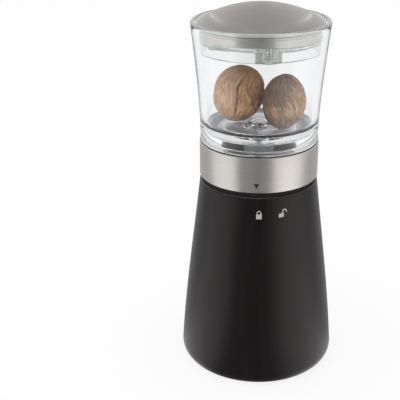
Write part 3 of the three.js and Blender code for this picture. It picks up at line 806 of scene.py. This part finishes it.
def grater(plastic, steel):
    ring_profile = [
        (outlet_radius + outlet_chamfer, ring_low, 0.3),
        (ring_radius, ring_low, 0.5),
        (ring_radius, ring_top, 0.2),
        (outlet_radius, ring_top, 0.2),
        (outlet_radius, ring_low + outlet_chamfer, 0.3),
    ]
    bm = turned(ring_profile, segments=128)
    for node in grater_screws:
        x, y, _ = middle_of(node)
        recess = rod(holder_head_bore, ring_low - overcut, ring_low + holder_head_sink)
        bm = combined(bm, moved(recess, x, y), "DIFFERENCE")
        bore = rod(holder_shank_bore, ring_low, ring_top + overcut)
        bm = combined(bm, moved(bore, x, y), "DIFFERENCE")
    finish("grater_holder", bm, plastic, "base", ["grater_ring"])

    places = [(0.0, 0.0)]
    for circle in (1, 2):
        for index in range(6 * circle):
            angle = math.radians(60 * index / circle + tooth_twist * circle)
            reach = tooth_spacing * circle
            places.append((reach * math.cos(angle), reach * math.sin(angle)))
    plate_top = plate_low + plate_thickness
    bm = rod(plate_radius, plate_low, plate_top, 0.1, 96)
    for x, y in places:
        hole = rod(tooth_hole, plate_low - overcut, plate_top + overcut, 0, 20)
        bm = combined(bm, moved(hole, x, y), "DIFFERENCE")
    finish("grater_disc", bm, steel, "base", ["grater_plate"])
    tooth_profile = [
        (tooth_hole, plate_top - tooth_sink),
        (tooth_hole + tooth_foot, plate_top - tooth_sink),
        (tooth_hole + tooth_shoulder, plate_top, 0.2),
        (tooth_hole + tooth_neck, plate_top + tooth_neck_rise, 0.3),
        (tooth_hole + tooth_lip, plate_top + tooth_rise),
        (tooth_hole, plate_top + tooth_rise),
    ]
    teeth = bmesh.new()
    for x, y in places:
        tooth = moved(turned(tooth_profile, segments=20, steps=2), x, y)
        mesh = bpy.data.meshes.new("working_mesh")
        tooth.to_mesh(mesh)
        tooth.free()
        teeth.from_mesh(mesh)
        bpy.data.meshes.remove(mesh)
    finish("grater_teeth", teeth, steel, "base")
    for index, node in enumerate(grater_screws):
        screw(f"holder_screw_{index + 1}", node, "base", steel, True)


# Marks printed on the band and the body


def filled(outlines):
    """A flat figure of outlines in (across, up) millimetres; an outline inside another is a hole."""
    bm = bmesh.new()
    edges = []
    for outline in outlines:
        verts = [bm.verts.new((u, v, 0)) for u, v in outline]
        edges += [bm.edges.new(pair) for pair in zip(verts, verts[1:] + verts[:1])]
    bmesh.ops.triangle_fill(bm, use_beauty=True, use_dissolve=False, edges=edges)
    return bm


def wrap_mark(name, bm, heading, height, surface, material, body, slot):
    """Lays a flat figure on a turned surface, whose radius at a height the surface gives."""
    long_edges = [edge for edge in bm.edges if edge.calc_length() > mark_step]
    bmesh.ops.subdivide_edges(bm, edges=long_edges, cuts=2)
    bmesh.ops.triangulate(bm, faces=bm.faces)
    extruded = bmesh.ops.extrude_face_region(bm, geom=bm.faces[:])
    top = [v for v in extruded["geom"] if isinstance(v, bmesh.types.BMVert)]
    bmesh.ops.translate(bm, vec=(0, 0, mark_thickness), verts=top)
    for vert in bm.verts:
        across, up, out = vert.co
        reach = surface(height + up) + out + mark_gap
        angle = math.radians(heading - 90) + across / reach
        vert.co = (reach * math.cos(angle), reach * math.sin(angle), height + up)
    finish(name, bm, material, body)


def index_triangle(material):
    half = 1.2
    tall = 2.35
    figure = filled([[(-half, tall / 2), (0, -tall / 2), (half, tall / 2)]])
    place = (triangle_heading, triangle_height)
    steady = lambda height: band_radius
    wrap_mark("index_triangle", figure, *place, steady, material, "head", "black_plastic")


def closed_padlock(material):
    """A plain padlock: a block with an arch, and the gap under the arch."""
    half = 2.6 / 2
    tall = 2.3
    arch_rise = 1.75
    arch_wall = 0.42
    arch = arc((0, 0), (half * 0.9, arch_rise), 180, 0, 14)
    gap = arc((0, 0), (half * 0.9 - arch_wall, arch_rise - arch_wall), 180, 0, 12)
    outer = [(-half, -tall), (half, -tall), (half, 0), *reversed(arch), (-half, 0)]
    place = (closed_heading, closed_height)
    wrap_mark("padlock_closed", filled([outer, gap]), *place, body_radius, material, "base", "pale_plastic")


def open_padlock(material):
    """The same padlock with its block tilted and its hook swung out to the right."""
    half = 1.25
    block = [(-half, -2.0), (half, -1.7), (half, 0.2), (-half, -0.1)]
    middle = (1.6, 0.75)
    arch = arc(middle, (1.27, 1.25), 180, -20, 14)
    gap = arc(middle, (0.75, 0.72), 180, -20, 12)
    hook = [(0.35, 0.02), *arch, *reversed(gap), (0.85, 0.08)]
    place = (open_heading, open_height)
    for name, outline in (("padlock_open_block", block), ("padlock_open_hook", hook)):
        wrap_mark(name, filled([outline]), *place, body_radius, material, "base", "pale_plastic")


# Head


def head_core(material):
    """The black core under the band: a ledge for the reservoir, a well, and a spigot with three lugs."""
    profile = [
        (spigot_bore, core_low, 0.2),
        (spigot_radius, core_low, 0.4),
        (spigot_radius, band_bottom, 0.3),
        (core_radius, band_bottom, 0.3),
        (core_radius, core_top, 0.5),
        (recess_radius, core_top, 0.6),
        (recess_radius, core_floor, 1.0),
        (hub_bore, core_floor, 0.3),
        (hub_bore, hub_low, 0.2),
        (hub_radius, hub_low, 0.4),
        (hub_radius, core_roof, 0.6),
        (spigot_bore, core_roof, 0.6),
    ]
    bm = turned(profile, segments=144)
    root = spigot_radius - lug_root
    corners = [(root, lug_low), (lug_radius, lug_low), (lug_radius, lug_top), (root, lug_top)]
    for index in range(3):
        lug = bmesh.new()
        face = lug.faces.new([lug.verts.new((r, 0, z)) for r, z in corners])
        start = math.radians(lug_heading + lug_spacing * index - lug_half_angle)
        bmesh.ops.rotate(lug, cent=(0, 0, 0), matrix=Matrix.Rotation(start, 3, "Z"), verts=lug.verts)
        sweep = math.radians(2 * lug_half_angle)
        bmesh.ops.spin(lug, geom=[face], cent=(0, 0, 0), axis=(0, 0, 1), angle=sweep, steps=8)
        bmesh.ops.recalc_face_normals(lug, faces=lug.faces)
        bm = combined(bm, lug, "UNION")
    finish("core_turned", bm, material, "head", ["head_core"])


def head_pieces(steel, plastic):
    inner = band_radius - band_wall
    profile = [
        (inner, band_bottom, 0.2),
        (band_radius, band_bottom, 0.25),
        (band_radius, band_top, 0.3),
        (inner, band_top, 0.3),
    ]
    band = turned(profile, segments=192)
    finish("band_sleeve", band, steel, "head", ["steel_band"], crease=50)
    collar_low = body_top + collar_lift
    collar_high = high("bayonet_socket") - collar_drop
    collar = ring(collar_inner, collar_outer, collar_low, collar_high, 0.2, 128)
    finish("socket_collar", collar, plastic, "base")


# Reservoir


def wall_outside(count=36):
    """The cup's outline from its foot to the start of the rim's rounding."""
    start = (reservoir_foot_radius, reservoir_bottom)
    end = (rim_radius, rim_top - rim_rounding)
    height = end[1] - start[1]
    flare = end[0] - start[0]
    return bezier(
        start,
        (start[0], start[1] + height * wall_straight),
        (start[0] + flare * wall_bend_flare, start[1] + height * wall_bend),
        end,
        count,
    )


def wall_inside():
    """The wall's inside, from the rim down to the rounded corner of the floor."""
    outside = wall_outside()
    top = outside[-1][1]
    span = top - floor_level
    points = []
    for r, z in reversed(outside):
        share = (top - z) / span
        if z > floor_level + floor_corner:
            points.append((r - rim_wall - (foot_wall - rim_wall) * share, z))
    return points


def reservoir(material, underside, roof, painted_reflection):
    """The clear cup, with faces of their own finish on its foot and roof of recess, and a grey-blue painted
    reflection on its boss and rim.
    """
    inside = wall_inside()
    floor_radius = inside[-1][0]
    corner_middle = (floor_radius - floor_corner, floor_level + floor_corner)
    corner = arc(corner_middle, (floor_corner, floor_corner), 0, -90, 10)
    rim_middle = (rim_radius - rim_wall / 2, rim_top - rim_rounding)
    rim = arc(rim_middle, (rim_wall / 2, rim_rounding), 0, 180, 12)
    boss_top = floor_level + boss_top_rise
    head_seat = boss_top - seat_depth
    bore_top = tube_top + fit_gap
    profile = [
        (neck_bore, boss_bottom, 0.2),
        (boss_radius, boss_bottom, 0.4),
        (boss_radius, recess_roof, 0.6),
        (recess_radius, recess_roof, 0.5),
        (recess_radius, reservoir_bottom, 0.2),
        (smoked_radius, reservoir_bottom),
        (reservoir_foot_radius, reservoir_bottom, 0.4),
        *wall_outside()[1:-1],
        *rim,
        *inside[1:-1],
        *corner,
        (boss_top_radius + boss_top_rise, floor_level, 1.0),
        (boss_top_radius, boss_top, 0.6),
        (seat_radius, boss_top, 0.2),
        (seat_radius, head_seat),
        (seat_bore, head_seat),
        (seat_bore, bore_top),
        (neck_bore, bore_top, 0.3),
    ]
    bm = turned(profile, segments=192)
    cup = finish("reservoir_cup", bm, material, "knob", ["reservoir"], crease=60)
    underside_slot, roof_slot, painted_reflection_slot = 1, 2, 3
    for extra in (underside, roof, painted_reflection):
        cup.data.materials.append(extra)
    for face in cup.data.polygons:
        level = face.center.z / mm
        across = face.center.xy.length / mm
        upright = abs(face.normal.z) < 0.5
        facing_down = face.normal.z <= -0.7
        on_rim = level > rim_top - rim_rounding
        on_boss = upright and abs(across - boss_radius) < 0.4 and level < recess_roof
        on_foot = facing_down and level < reservoir_bottom + 0.15 and across > recess_radius
        on_roof = facing_down and abs(level - recess_roof) < 0.1 and boss_radius < across < recess_radius
        if on_foot:
            face.material_index = underside_slot if across > smoked_radius else roof_slot
        elif on_roof:
            face.material_index = roof_slot
        # Painted reflection: the rim and boss faces take a grey-blue diffuse share.
        elif on_rim or on_boss:
            face.material_index = painted_reflection_slot


def spindle_thread(material):
    """The thread on the drive tube's neck, inside the reservoir's clear boss."""
    steps = 28
    bm = bmesh.new()
    root = neck_radius - thread_root
    corners = [(root, -thread_half), (neck_radius + thread_depth, 0), (root, thread_half)]
    verts = [bm.verts.new((r, 0, shoulder_top + thread_start + z)) for r, z in corners]
    face = bm.faces.new(verts)
    bmesh.ops.spin(
        bm,
        geom=[face],
        cent=(0, 0, 0),
        axis=(0, 0, 1),
        dvec=(0, 0, thread_pitch / steps),
        angle=2 * math.pi * thread_turns,
        steps=steps * thread_turns,
    )
    finish("spindle_thread", bm, material, "knob")


def nutmeg(name, node, material, lean, turn, seam_at, seed, bulges):
    """A nutmeg: bulges on an egg, one long seam, and furrows that wander from end to end.

    It leans and turns by degrees and fills its node's box. A bulge is (direction, rise).
    """
    low_corner, high_corner = (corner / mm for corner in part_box(node))
    middle = (low_corner + high_corner) / 2
    size = (high_corner - low_corner) / 2
    bm = bmesh.new()
    bmesh.ops.create_icosphere(bm, subdivisions=7, radius=1.0)
    way_layer = bm.verts.layers.float_vector.new("fibre_way")
    depth_layer = bm.verts.layers.float.new("furrow_depth")
    spread = Vector((seed * 3.7, seed * 1.3, seed * 2.1))
    upright = Matrix.Rotation(math.radians(lean), 3, "Y") @ Matrix.Rotation(math.radians(turn), 3, "Z")
    for vert in bm.verts:
        p = vert.co.normalized()
        latitude = math.asin(max(-1.0, min(1.0, p.z)))
        waist = math.cos(latitude)
        wander = fibre_wander * noise.noise(p * 1.3 + spread)
        swirl = math.atan2(p.y, p.x) + wander + fibre_twist * math.sin(2 * latitude)
        way = Vector((math.cos(swirl), math.sin(swirl), fibre_climb * latitude))
        seam_way = math.remainder(swirl - seam_at, 2 * math.pi)
        seam = math.exp(-((seam_way / seam_width) ** 2))
        furrow = math.exp(-((noise.noise(way * 2.6 + spread) / furrow_width) ** 2))
        wrinkle = math.exp(-((noise.noise(way * 6.5 + spread) / wrinkle_width) ** 2))
        crumple = abs(noise.noise(p * 9.0 + spread))
        lumps = noise.noise(p * 1.6 + spread)
        lines = seam_depth * seam + furrow_depth * furrow + wrinkle_depth * wrinkle
        dent = waist * lines + crumple_depth * crumple
        swell = 0
        for heading, rise in bulges:
            swell += rise * max(0.0, p.dot(Vector(heading).normalized())) ** 3
        reach = (1 + swell + lump_height * lumps - dent) * (1 - taper * p.z)
        vert[way_layer] = way
        vert[depth_layer] = min(1.0, waist * (seam + 0.40 * furrow + 0.35 * wrinkle))
        egg = Vector((p.x * size.x * reach, p.y * size.y * reach, p.z * size.z * reach))
        vert.co = upright @ egg
    for index in range(3):
        ends = [v.co[index] for v in bm.verts]
        centre = (max(ends) + min(ends)) / 2
        shift = Vector((0, 0, 0))
        shift[index] = -centre
        bmesh.ops.translate(bm, vec=shift, verts=bm.verts)
        scale = [1, 1, 1]
        scale[index] = size[index] / ((max(ends) - min(ends)) / 2)
        bmesh.ops.scale(bm, vec=scale, verts=bm.verts)
    bmesh.ops.translate(bm, vec=middle, verts=bm.verts)
    finish(name, bm, material, "knob", [node], crease=180)


# Lid


def dome_curve(radius, edge, rise, count=28):
    """Points (radius, height) along the dome, from its edge to its crown."""
    points = []
    for step in range(count + 1):
        angle = math.pi / 2 * step / count
        across = max(math.cos(angle), 0.0) ** (2 / dome_fullness)
        up = math.sin(angle) ** (2 / dome_crown)
        points.append((0.0 if step == count else radius * across, edge + rise * up))
    return points


def lid(dome_steel, pan_steel, clear, tinted, bore_shadow, rubber, screw_steel):
    """Dome with a curled hem, pan with a bead, seal, and the clear plug with three bosses and screws."""
    outside = dome_curve(dome_radius, dome_edge, dome_rise)
    inside = dome_curve(dome_radius - dome_wall, dome_edge, dome_rise - dome_wall)
    hem = arc((dome_radius - dome_hem, dome_edge - dome_hem), (dome_hem, dome_hem), 60, -160, 14)
    dome = turned([*reversed(outside), *hem, *inside], closed=False, segments=192)
    shell = finish("dome_shell", dome, dome_steel, "lid", ["lid_dome"], crease=60)
    shell.data.materials.append(pan_steel)
    for face in shell.data.polygons:
        if face.center.z / mm < dome_edge:
            face.material_index = 1

    bead_middle = (pan_radius + bead_overhang, pan_top - pan_bead)
    bead = arc(bead_middle, (pan_bead, pan_bead), -70, 90, 12)
    pan_profile = [
        (0, pan_top - pan_wall),
        (pan_radius - pan_wall, pan_top - pan_wall, pan_bend),
        (pan_radius - pan_wall, pan_bottom, 0.2),
        (pan_radius, pan_bottom, 0.3),
        (pan_radius, pan_top - bead_depth * pan_bead, 0.2),
        *bead,
        (0, pan_top),
    ]
    pan = turned(pan_profile, closed=False, segments=160)
    finish("pan_pressed", pan, pan_steel, "lid", ["lid_pan"], crease=60)

    seal_radius = radius_of("lid_seal") - seal_inset
    seal = ring(seal_radius - seal_width, seal_radius, low("lid_seal"), high("lid_seal"), 0.2, 128)
    finish("seal_ring", seal, rubber, "lid", ["lid_seal"])

    collar_radius = pan_radius - collar_inset
    plug_profile = [
        (0, plug_top - plug_wall),
        (plug_radius - plug_wall, plug_top - plug_wall, 0.6),
        (plug_radius - plug_wall, plug_bottom, 0.4),
        (plug_radius, plug_bottom, 0.5),
        (plug_radius, plug_top, 0.4),
        (collar_radius, plug_top, 0.2),
        (collar_radius, collar_top, 0.3),
        (collar_radius - plug_wall, collar_top, 0.3),
        (collar_radius - plug_wall, plug_top, 0.4),
        (0, plug_top),
    ]
    plug = turned(plug_profile, closed=False, segments=160)
    for node in lid_screws:
        x, y, _ = middle_of(node)
        boss = rod(plug_boss, boss_low, plug_top - plug_boss_root, 0.3, 64)
        plug = combined(plug, moved(boss, x, y), "UNION")
    for node in lid_screws:
        x, y, _ = middle_of(node)
        recess = rod(plug_screw_recess, boss_low - overcut, boss_low + plug_screw_sink, 0, 40)
        plug = combined(plug, moved(recess, x, y), "DIFFERENCE")
    piece = finish("plug_clear", plug, clear, "lid", ["lid_plug"], crease=40)
    tinted_slot, bore_shadow_slot = 1, 2
    for extra in (tinted, bore_shadow):
        piece.data.materials.append(extra)
    bosses = [middle_of(node).xy for node in lid_screws]
    for face in piece.data.polygons:
        place = face.center.xy / mm
        level = face.center.z / mm
        boss = min(bosses, key=lambda middle: (place - middle).length)
        out = place - boss
        reach = out.length
        upright = abs(face.normal.z) < 0.5
        on_boss = plug_boss_core < reach < plug_boss + 0.1 and level < plug_top - plug_wall
        lower_edge = face.normal.z < -0.5 and level < plug_bottom + 0.4
        towards_axis = out.dot(boss) < -0.4 * reach * boss.length
        # Painted shadow: the faces of each boss that face the axis get a dark olive, for the shade of the
        # screw's thread and bore.
        if upright and on_boss and towards_axis:
            face.material_index = bore_shadow_slot
        elif upright and on_boss or lower_edge:
            face.material_index = tinted_slot
    for index, node in enumerate(lid_screws):
        name = f"plug_screw_{index + 1}"
        screw(name, node, "lid", screw_steel, True, plug_screw_share, plug_screw_pitch)


def claw_spring(material):
    """The wound wire between the claw and its seat, which shortens as the claw rises."""
    low_corner, high_corner = (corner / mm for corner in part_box("claw_spring"))
    steps = coil_turns * 40
    rise = (high_corner.z - low_corner.z - 2 * wire_radius) / steps
    upright = Matrix.Rotation(math.pi / 2, 4, "X")
    bm = bmesh.new()
    bmesh.ops.create_circle(bm, cap_ends=True, segments=12, radius=wire_radius, matrix=upright)
    start = (high_corner.x - wire_radius, 0, low_corner.z + wire_radius)
    bmesh.ops.translate(bm, vec=start, verts=bm.verts)
    bmesh.ops.spin(
        bm,
        geom=bm.faces[:],
        cent=(0, 0, 0),
        axis=(0, 0, 1),
        dvec=(0, 0, rise),
        angle=2 * math.pi * coil_turns,
        steps=steps,
    )
    piece = finish("wound_spring", bm, material, "knob", ["claw_spring"], crease=60)
    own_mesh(piece)


# Studio


def camera():
    """The photograph's view: a long lens in front of the mill, looking down on it."""
    focal_pixels = 886.8
    frame_pixels = 400
    sensor = 36
    place = (0, -0.4042, 0.2563)
    pitch = math.radians(23.22)
    heading = math.radians(-4.07)
    roll = math.radians(-0.70)
    data = bpy.data.cameras.new("studio_camera")
    data.sensor_width = sensor
    data.lens = sensor * focal_pixels / frame_pixels
    data.clip_start = 0.01
    view = bpy.data.objects.new("studio_camera", data)
    bpy.context.scene.collection.objects.link(view)
    forward = Vector(
        (math.sin(heading) * math.cos(pitch), math.cos(heading) * math.cos(pitch), -math.sin(pitch))
    )
    level = Vector((math.cos(heading), -math.sin(heading), 0))
    upward = level.cross(forward)
    right = math.cos(roll) * level + math.sin(roll) * upward
    up = math.cos(roll) * upward - math.sin(roll) * level
    turn = Matrix((right, up, -forward)).transposed().to_4x4()
    view.matrix_world = Matrix.Translation(place) @ turn
    bpy.context.scene.camera = view


def light_paths():
    """Lets light run down the clear walls, where it is reflected many times before it comes out."""
    cycles = bpy.context.scene.cycles
    cycles.max_bounces = 40
    cycles.glossy_bounces = 32
    cycles.transmission_bounces = 32


def softbox(name, place, size, power):
    """A soft lamp over the mill that isn't seen in the steel."""
    data = bpy.data.lights.new(name, "AREA")
    data.shape = "SQUARE"
    data.size = size
    data.energy = power
    light = bpy.data.objects.new(name, data)
    bpy.context.scene.collection.objects.link(light)
    light.location = place
    aim = Vector((0, 0, 0.1)) - Vector(place)
    light.rotation_euler = aim.to_track_quat("-Z", "Y").to_euler()
    light.visible_glossy = False


def world():
    """White where it is seen directly or through the acrylic, and the studio's walls everywhere else."""
    data = bpy.data.worlds.new("studio_world")
    bpy.context.scene.world = data
    data.use_nodes = True
    s = Tree(data.node_tree)
    background = data.node_tree.nodes["Background"]
    direction = s.add("ShaderNodeTexCoord").outputs["Generated"]
    path = s.add("ShaderNodeLightPath")
    mirrored = s.studio(direction, high_levels, mirrored_zenith)
    inside = s.studio(direction, clear_levels, clear_zenith)
    diffused = s.blend(0.6, inside, (1.0, 1.0, 1.0))
    reflected = s.math("MINIMUM", path.outputs["Glossy Depth"], 1.0)
    through = s.blend(reflected, (1.0, 1.0, 1.0), inside)
    shown = s.blend(path.outputs["Is Glossy Ray"], diffused, mirrored)
    shown = s.blend(path.outputs["Is Transmission Ray"], shown, through)
    shown = s.blend(path.outputs["Is Camera Ray"], shown, (1.0, 1.0, 1.0))
    s.join(shown, background.inputs["Color"])


def floor():
    """A pale floor that is white to the camera and keeps the mill's soft shadow, and that glows in the
    steel's reflections with the studio walls' levels: a painted reflection.
    """
    bm = bmesh.new()
    bmesh.ops.create_grid(bm, x_segments=1, y_segments=1, size=6.0)
    bmesh.ops.translate(bm, vec=(0, 0, -0.0002), verts=bm.verts)
    mesh = bpy.data.meshes.new("studio_floor")
    bm.to_mesh(mesh)
    bm.free()
    plane = bpy.data.objects.new("studio_floor", mesh)
    bpy.context.scene.collection.objects.link(plane)
    s = Shader("pale_floor")
    s.set(roughness=0.9, specular_ior_level=0.1)
    grain = s.noise(s.mapped(), 40, detail=2)
    s.colour(s.blend(grain, (0.92, 0.92, 0.92), (0.94, 0.94, 0.94)))
    path = s.add("ShaderNodeLightPath")
    # Painted reflection: to glossy rays the floor glows with the walls' levels by heading, dark at the
    # front and bright at the sides.
    painted_wall_glow = s.add("ShaderNodeEmission")
    reflected = s.math("MINIMUM", path.outputs["Glossy Depth"], 1.0)
    through = s.blend(reflected, (1.0, 1.0, 1.0), s.studio(s.place, clear_levels))
    shown = s.blend(path.outputs["Is Transmission Ray"], s.studio(s.place, low_levels), through)
    shown = s.blend(path.outputs["Is Camera Ray"], shown, (1.0, 1.0, 1.0))
    s.join(shown, painted_wall_glow.inputs["Color"])
    plain = s.math("MULTIPLY", path.outputs["Is Camera Ray"], 0.85)
    share = s.math("MAXIMUM", path.outputs["Is Glossy Ray"], plain)
    pale = s.add("ShaderNodeMixShader")
    s.join(share, pale.inputs["Fac"])
    s.join(s.surface.outputs["BSDF"], pale.inputs[1])
    s.join(painted_wall_glow.outputs["Emission"], pale.inputs[2])
    s.join(pale.outputs["Shader"], s.output.inputs["Surface"])
    mesh.materials.append(s.material)


# The mill

round_axis = (0.012, 0.012, 1.0)
along_width = (0.012, 1.0, 1.0)
wood = black_stained_wood()
band_steel = brushed_steel("brushed_band_steel", (0.62, 0.590, 0.565), 0.26, round_axis, "Z", 0.25, 0.9)
pan_steel = brushed_steel("brushed_pan_steel", (0.70, 0.675, 0.652), 0.20, round_axis, "Z", 0.25, 0.85)
dome_steel = brushed_steel("brushed_dome_steel", (0.64, 0.608, 0.583), 0.36, along_width, "X", 0.0, 0.85)
bright_steel = polished_steel()
screw_steel = polished_steel("polished_screw_steel", tint=(0.90, 0.895, 0.89), rough=0.06)
wire_steel = polished_steel("spring_wire_steel", tint=(0.45, 0.45, 0.44), rough=0.3)
brass = turned_brass()
black_plastic = moulded_plastic("black_moulded_plastic", (0.010, 0.010, 0.010), (0.016, 0.016, 0.016))
collar_black = ((0.009, 0.009, 0.009), (0.014, 0.014, 0.014))
collar_plastic = moulded_plastic("matt_collar_plastic", *collar_black, rough=0.6, specular=0.2)
pale_plastic = moulded_plastic("pale_washer_plastic", (0.70, 0.67, 0.60), (0.78, 0.75, 0.68))
rubber = moulded_plastic("black_seal_rubber", (0.008, 0.008, 0.008), (0.013, 0.013, 0.013), rough=0.7)
acrylic = clear_acrylic()
underside_acrylic = clear_acrylic("smoked_underside_acrylic", tint=(0.020, 0.020, 0.021), clear=0.45)
roof_acrylic = clear_acrylic("matt_roof_acrylic", tint=(0.50, 0.51, 0.53), clear=0.55)
# A grey-blue diffuse share on the rim and boss faces: painted reflection, standing in for the darker
# surroundings seen in the acrylic's edges.
rim_painted_reflection = clear_acrylic("rim_acrylic_painted_reflection", tint=(0.76, 0.80, 0.82), clear=0.68)
plug_acrylic = clear_acrylic("clear_plug_acrylic", tint=(0.925, 0.935, 0.920))
boss_acrylic = clear_acrylic("tinted_boss_acrylic", tint=(0.52, 0.53, 0.46))
# Dark olive for the bosses' inner halves: painted shadow of the screws' thread and bore.
bore_shadow_acrylic = clear_acrylic("acrylic_painted_bore_shadow", tint=(0.25, 0.262, 0.205))
left_shell = nutmeg_shell("left_nutmeg_shell", "nutmeg_left", (
    (0.080, 0.034, 0.015),
    (0.190, 0.085, 0.034),
    (0.385, 0.200, 0.098),
    (0.680, 0.420, 0.250),
), [
    # Left nutmeg: painted light on its lit left side and a paler top; an orange-brown patch on its right
    # side.
    ((-1.0, -0.35, 0.0), 0, 7, 0.55, (0.660, 0.415, 0.260)),
    ((1.0, -0.5, 0.2), 2, 8, 0.45, (0.440, 0.205, 0.075)),
    ((0.5, -0.3, 1.0), 8, 13, 0.55, (0.520, 0.320, 0.140)),
])
right_shell = nutmeg_shell("right_nutmeg_shell", "nutmeg_right", (
    (0.070, 0.035, 0.020),
    (0.165, 0.085, 0.046),
    (0.335, 0.190, 0.108),
    (0.590, 0.370, 0.230),
), [
    # Right nutmeg: painted light on its lit right side; painted shade on its left side, top left and lower
    # left, where the left nutmeg shades it.
    ((1.0, -0.5, -0.3), 1, 7, 0.40, (0.560, 0.345, 0.210)),
    ((-1.0, -0.3, -0.15), 1.5, 6, 0.75, (0.125, 0.066, 0.040)),
    ((-0.7, -0.3, 0.75), 2.5, 7, 0.88, (0.108, 0.070, 0.048)),
    ((-0.7, -0.3, -1.0), 1.5, 8, 0.60, (0.150, 0.080, 0.046)),
])
ink = printed_ink("dark_index_ink", (0.006, 0.006, 0.006), (0.011, 0.010, 0.010))
pale_ink = printed_ink("pale_mark_ink", (0.40, 0.375, 0.355), (0.50, 0.475, 0.45))

node_finish = {
    "black_wood": wood,
    "black_plastic": black_plastic,
    "polished_steel": bright_steel,
    "brushed_steel": band_steel,
    "brass": brass,
    "clear_acrylic": acrylic,
    "pale_plastic": pale_plastic,
    "spring_steel": wire_steel,
    "nut_shell": left_shell,
    "black_rubber": rubber,
}
for part in frame["record"]["subparts"]:
    mesh = nodes[part["node"]].data
    mesh.materials.clear()
    mesh.materials.append(node_finish[part["material_slot"]])

camera()
light_paths()
world()
floor()
softbox("top_softbox", (-0.25, -0.15, 0.9), 0.7, 1.5)

wooden_body(wood)
grater(black_plastic, bright_steel)
index_triangle(ink)
closed_padlock(pale_ink)
open_padlock(pale_ink)
head_pieces(band_steel, collar_plastic)
head_core(black_plastic)
reservoir(acrylic, underside_acrylic, roof_acrylic, rim_painted_reflection)
spindle_thread(bright_steel)
screw("reservoir_screw", "top_screw", "knob", bright_steel, False)
nutmeg("nutmeg_large", "nutmeg_left", left_shell, 20, 20, math.radians(-107), 1, [
    ((0.7, -0.3, 0.8), 0.05),
    ((-0.5, -0.3, -0.8), 0.03),
])
nutmeg("nutmeg_small", "nutmeg_right", right_shell, -6, 0, math.radians(-160), 4, [
    ((0.85, -0.2, 0.65), 0.17),
    ((-0.55, -0.2, 0.8), 0.06),
    ((-0.8, -0.2, -0.6), 0.15),
    ((0.7, -0.2, -0.5), 0.02),
])
lid(dome_steel, pan_steel, plug_acrylic, boss_acrylic, bore_shadow_acrylic, rubber, screw_steel)
claw_spring(wire_steel)

bpy.context.scene.view_settings.view_transform = "Standard"
